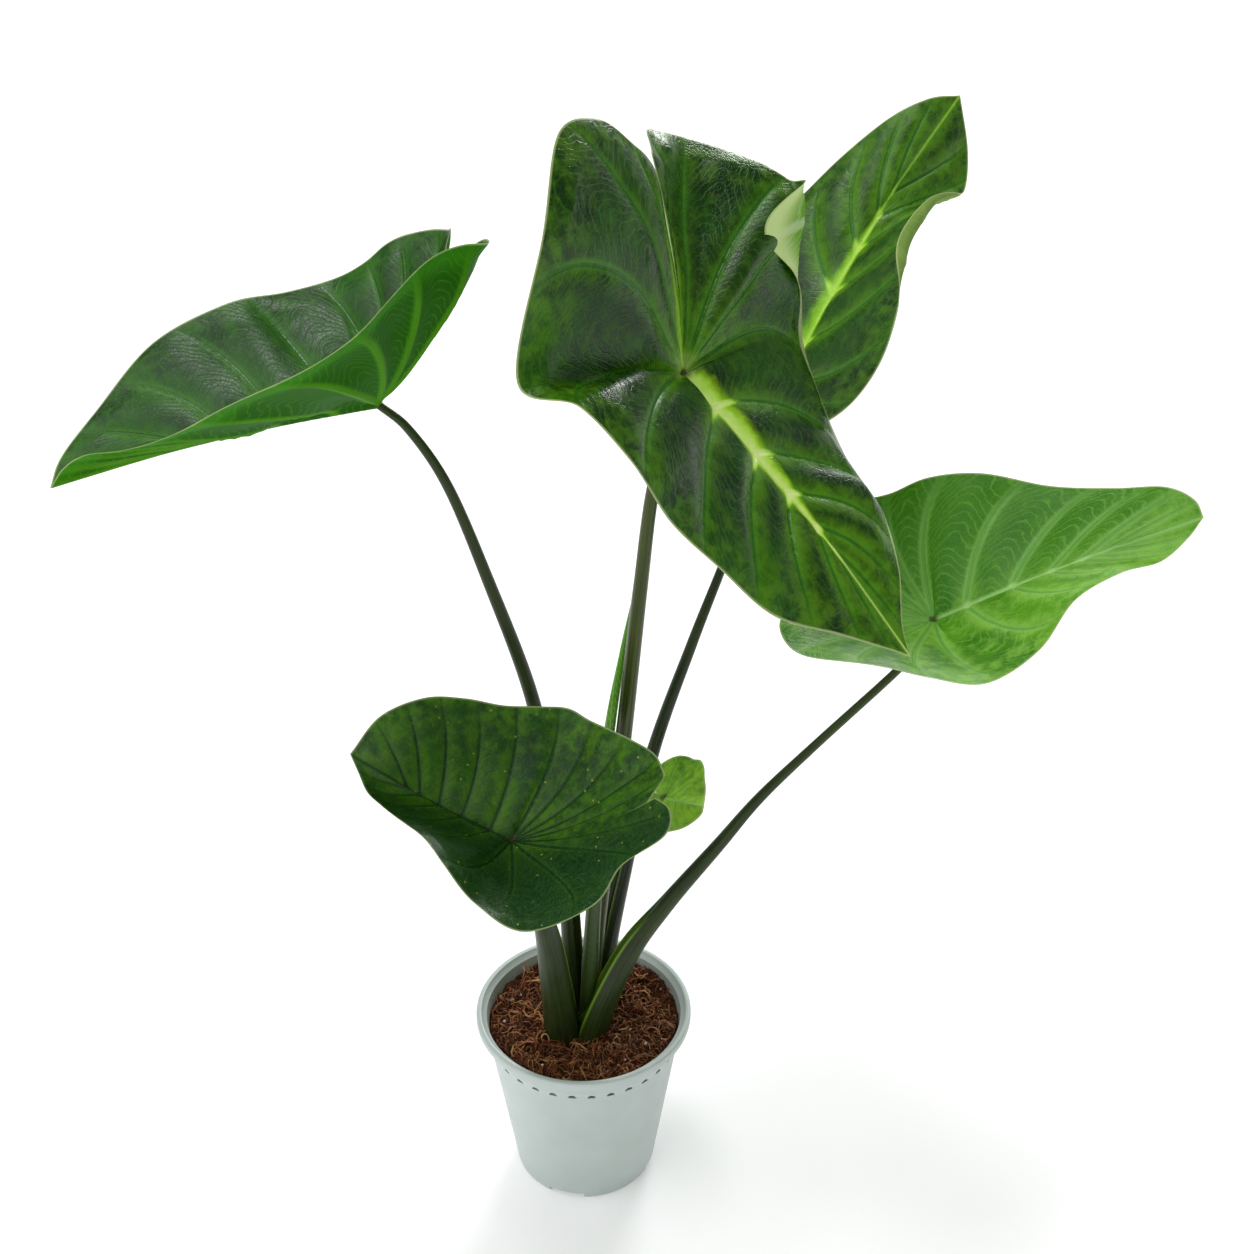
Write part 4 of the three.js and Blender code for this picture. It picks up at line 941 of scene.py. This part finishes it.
def swept(path, open_way, half_width, shape, sides, steps):
    """Rings of points of a tube along a path. shape gives a factor for each place along the
    tube and each angle round it, from the side that faces open_way."""
    t = np.linspace(0, 1, steps + 1)
    tangent = smooth(path, np.minimum(t + 0.01, 1)) - smooth(path, np.maximum(t - 0.01, 0))
    tangent /= np.linalg.norm(tangent, axis=1)[:, None]
    across = open_way - tangent * (tangent @ open_way)[:, None]
    across /= np.linalg.norm(across, axis=1)[:, None]
    aside = np.cross(tangent, across)
    angle = np.linspace(0, 2 * math.pi, sides, endpoint=False)
    grid_t, grid_angle = np.meshgrid(t, angle, indexing="ij")
    radius = (half_width(grid_t) * shape(grid_t, grid_angle))[..., None]
    rings = smooth(path, t)[:, None] + radius * (
        np.cos(grid_angle)[..., None] * across[:, None]
        + np.sin(grid_angle)[..., None] * aside[:, None])
    return rings, grid_t, grid_angle


def make_stalk(name):
    """Stalk with its channelled sheath, ended just inside the underside of its blade."""
    spec = STALKS[name]
    path = np.array(spec["path"] + [BLADES[name]["joint"]], float)
    lean = path[0] - path[-1]
    lean[2] = 0
    lean /= np.linalg.norm(lean)
    bottom, top = spec["width"]

    def half_width(t):
        return (top + (bottom - top) * (1 - t) ** spec["taper"]) / 2

    def depth_at(t):
        rise = np.clip((spec["sheath"] - t) / SHEATH_FADE, 0, 1)
        start = np.clip((t - BURIED) / 0.1, 0, 1)
        return rise * rise * (3 - 2 * rise) * start * start * (3 - 2 * start)

    def from_channel(angle):
        return np.abs(np.degrees((angle + math.pi) % (2 * math.pi) - math.pi))

    def lip_at(angle):
        return np.exp(-((from_channel(angle) - LIP_TURN) / LIP_WIDE) ** 2)

    def shape(t, angle):
        channel = -CHANNEL_DEEP * np.exp(-(from_channel(angle) / CHANNEL_WIDE) ** 2)
        return 1 + depth_at(t) * (channel + LIP_HIGH * lip_at(angle))

    rings, grid_t, grid_angle = swept(path, lean, half_width, shape, STALK_SIDES, STALK_STEPS)
    blade = BVHTree.FromPolygons([vertex.co / MM for vertex in blades[name].data.vertices],
                                 [face.vertices[:] for face in blades[name].data.polygons])
    for side in range(STALK_SIDES):
        stop = None
        for ring in range(STALK_STEPS - STALK_END_RINGS, STALK_STEPS):
            here = Vector(rings[ring, side])
            step = Vector(rings[ring + 1, side]) - here
            if stop is None:
                hit = blade.ray_cast(here, step.normalized(), step.length)[0]
                if hit is not None:
                    stop = hit + step.normalized() * STALK_IN
            if stop is not None:
                rings[ring + 1, side] = stop
    inner = depth_at(grid_t) * np.exp(-(from_channel(grid_angle) / 20) ** 2)
    values = {"height": grid_t, "lip": depth_at(grid_t) * lip_at(grid_angle), "inner": inner,
              "round": grid_angle / (2 * math.pi)}
    piece = piece_from("stalk_" + name, rings.reshape(-1, 3).tolist(),
                       tube_faces(STALK_STEPS + 1, STALK_SIDES),
                       {key: value.ravel() for key, value in values.items()})
    only(piece)
    bpy.ops.object.shade_smooth_by_angle(angle=math.radians(50))
    return piece


# Stalk skin: fleshy and smooth with a thin grey bloom, striped lengthwise by fine paler
# veins, each about half a millimetre wide. The lips of the sheath are thin and greener.
def stalk_material(name, dark, pale, lip_colour, top_colour, stripes):
    """Material of a stalk from sRGB colours for its skin, stripes, sheath lips and top."""
    material, tree = new_material(name)
    height, turn, lip, inner = (put(tree, "Attribute", attribute_name=key, out=2)
                                for key in ("height", "round", "lip", "inner"))
    place = put(tree, "CombineXYZ", (TIMES, turn, 34.0), (TIMES, height, 5.0), 0.0)
    streak = put(tree, "TexNoise", place, Scale=1, Detail=4, Roughness=0.65)
    patch = put(tree, "TexNoise", put(tree, "TexCoord", out=3), Scale=22, Detail=3)
    colour = put(tree, MIX, (SPAN, streak, 0.4, 0.68, 0.0, stripes), dark, pale)
    for share, over in (((SPAN, patch, 0.45, 0.7, 0.0, 0.35), pale),
                        ((SPAN, height, 0.55, 1.0, 0.0, 0.7), top_colour),
                        ((TIMES, inner, 0.6), lip_colour),
                        ((SPAN, lip, 0.35, 0.95, 0.0, 0.9), lip_colour)):
        colour = put(tree, MIX, share, colour, over)
    bump = put(tree, "Bump", Height=streak, Strength=0.35, Distance=0.0005)
    put(tree, "OutputMaterial", put(tree, "BsdfPrincipled",
        Base_Color=colour, Roughness=(SPAN, patch, 0.3, 0.7, 0.26, 0.4),
        Normal=bump, IOR=1.42, Specular_IOR_Level=0.32))
    return material


STALK_LOOKS = {
    "left": ("#1A260C", "#3A4A1A", "#5E7A22", "#334216", 0.6),
    "centre": ("#222A0C", "#4E5C1C", "#7F9A2C", "#46551A", 0.9),
    "back": ("#182210", "#34421E", "#56702A", "#2A3818", 0.6),
    "right": ("#1C280E", "#3C4C1C", "#7CAA26", "#46551E", 0.7),
    "front": ("#1C2810", "#3C4A22", "#9AB43E", "#2E3A18", 0.6),
    "small": ("#2E4410", "#5A7C24", "#8FB040", "#62862A", 0.8),
}
for name, look in STALK_LOOKS.items():
    dress(make_stalk(name), stalk_material("stalk_skin_" + name, *look),
          "stalk_" + name)

# New leaf
# The next leaf, still rolled up tight as a spindle on its own stalk. Its free edge winds
# round it as a thin raised seam, and it comes up out of the sheath of the last leaf.
NEW_LEAF_PATH = np.array([(-2, -2, 116), (4.5, -6, 180), (8.5, -12, 255), (14, -17, 345),
                          (22.5, -22.5, 435), (31.5, -28, 500), (38, -34, 545)], float)
NEW_LEAF_WIDTHS = (7, 13, 12, 10, 8, 4.5, 1.2)
NEW_LEAF_SIDES = 56
NEW_LEAF_STEPS = 150
SEAM_TURNS = 1.1
SEAM_STEP = 0.13


def seam_turn(t, angle):
    """Share of a turn from the seam to a place on the rolled leaf."""
    return (angle / (2 * math.pi) + SEAM_TURNS * t) % 1


def new_leaf_shape(t, angle):
    """Spiral step of the rolled sheet: the section grows once round and drops at the seam."""
    return 1 - SEAM_STEP * np.clip((t - 0.25) / 0.1, 0, 1) * (1 - seam_turn(t, angle)) ** 2


rings, grid_t, grid_angle = swept(
    NEW_LEAF_PATH, np.array([-1.0, 0, 0]), lambda t: smooth(NEW_LEAF_WIDTHS, t) / 2,
    new_leaf_shape, NEW_LEAF_SIDES, NEW_LEAF_STEPS)
new_leaf = piece_from("new_leaf", rings.reshape(-1, 3).tolist(),
                      tube_faces(NEW_LEAF_STEPS + 1, NEW_LEAF_SIDES),
                      {"height": grid_t.ravel(), "seam": seam_turn(grid_t, grid_angle).ravel()})
only(new_leaf)
bpy.ops.object.shade_smooth_by_angle(angle=math.radians(40))

# Rolled young leaf: thin bright tissue with close pale veins that cross it on the slant, a
# paler edge along the seam, and darker stalk tissue at its foot.
rolled_tissue, tree = new_material("rolled_young_leaf")
height, seam = (put(tree, "Attribute", attribute_name=key, out=2) for key in ("height", "seam"))
slant = (PLUS, (TIMES, height, 60.0), (TIMES, seam, 5.0))
veins = put(tree, SPAN, ("Math PINGPONG", slant, 0.5), 0.0, 0.18, 0.5, 0.0)
patch = put(tree, "TexNoise", put(tree, "TexCoord", out=3), Scale=40, Detail=3)
colour = put(tree, MIX, patch, "#3C7A16", "#63A326")
for share, over in ((veins, "#8CC84A"), ((SPAN, seam, 0.94, 1.0, 0.0, 0.8), "#A6D65E"),
                    ((SPAN, height, 0.62, 0.38, 0.0, 0.92), "#26360F")):
    colour = put(tree, MIX, share, colour, over)
bump = put(tree, "Bump", Height=veins, Strength=0.4, Distance=0.0004)
put(tree, "OutputMaterial", put(tree, "BsdfPrincipled",
    Base_Color=colour, Roughness=0.4, Normal=bump, IOR=1.42,
    Subsurface_Weight=0.1, Subsurface_Radius=(0.002, 0.003, 0.001)))
dress(new_leaf, rolled_tissue, "new_leaf")

# Floor, lights and camera
# A plain pale floor that glows faintly, a wide key light from the front left, a narrower one
# from the top, and a low one from the back right that draws the sheen on the leaves. The
# camera looks down at about 30 degrees.
FLOOR_SIZE = 60
FLOOR_GLOW = 0.22
WORLD_LIGHT = 0.3
LENS = 50
CAMERA_TILT = 59.6
CAMERA_PLACE = (0.0344, -1.0397, 1.1138)
floor = start_from(bpy.ops.mesh.primitive_plane_add, size=FLOOR_SIZE)
floor.name = "floor"
paper, tree = new_material("matt_paper")
tooth = put(tree, "TexNoise", put(tree, "TexCoord", out=3), Scale=3, Detail=2)
put(tree, "OutputMaterial", put(tree, "BsdfPrincipled",
    Base_Color=(MIX, tooth, "#F5F5F6", "#F8F8F8"), Roughness=0.9,
    Specular_IOR_Level=0.1, Emission_Color="#F8F8F8", Emission_Strength=FLOOR_GLOW))
floor.data.materials.append(paper)

world = bpy.data.worlds.new("studio")
world.use_nodes = True
world.node_tree.nodes["Background"].inputs[0].default_value = (1, 1, 1, 1)
world.node_tree.nodes["Background"].inputs[1].default_value = WORLD_LIGHT
bpy.context.scene.world = world


def soft_light(name, way, spread, strength):
    """Even light that comes from one way, as from a large diffuser."""
    lamp = bpy.data.lights.new(name, "SUN")
    lamp.angle = math.radians(spread)
    lamp.energy = strength
    light = bpy.data.objects.new(name, lamp)
    bpy.context.collection.objects.link(light)
    light.rotation_euler = Vector(way).to_track_quat("Z", "Y").to_euler()


soft_light("key_light", (-0.6, -0.35, 0.75), 60, 1.2)
soft_light("top_light", (-0.15, 0.15, 1), 24, 1.2)
soft_light("back_light", (0.25, 0.9, 0.36), 22, 1.9)

lens = bpy.data.cameras.new("camera")
lens.lens = LENS
lens.sensor_width = 36
camera = bpy.data.objects.new("camera", lens)
bpy.context.collection.objects.link(camera)
camera.location = CAMERA_PLACE
camera.rotation_euler = (math.radians(CAMERA_TILT), 0, 0)
bpy.context.scene.camera = camera
bpy.context.scene.view_settings.view_transform = "Standard"
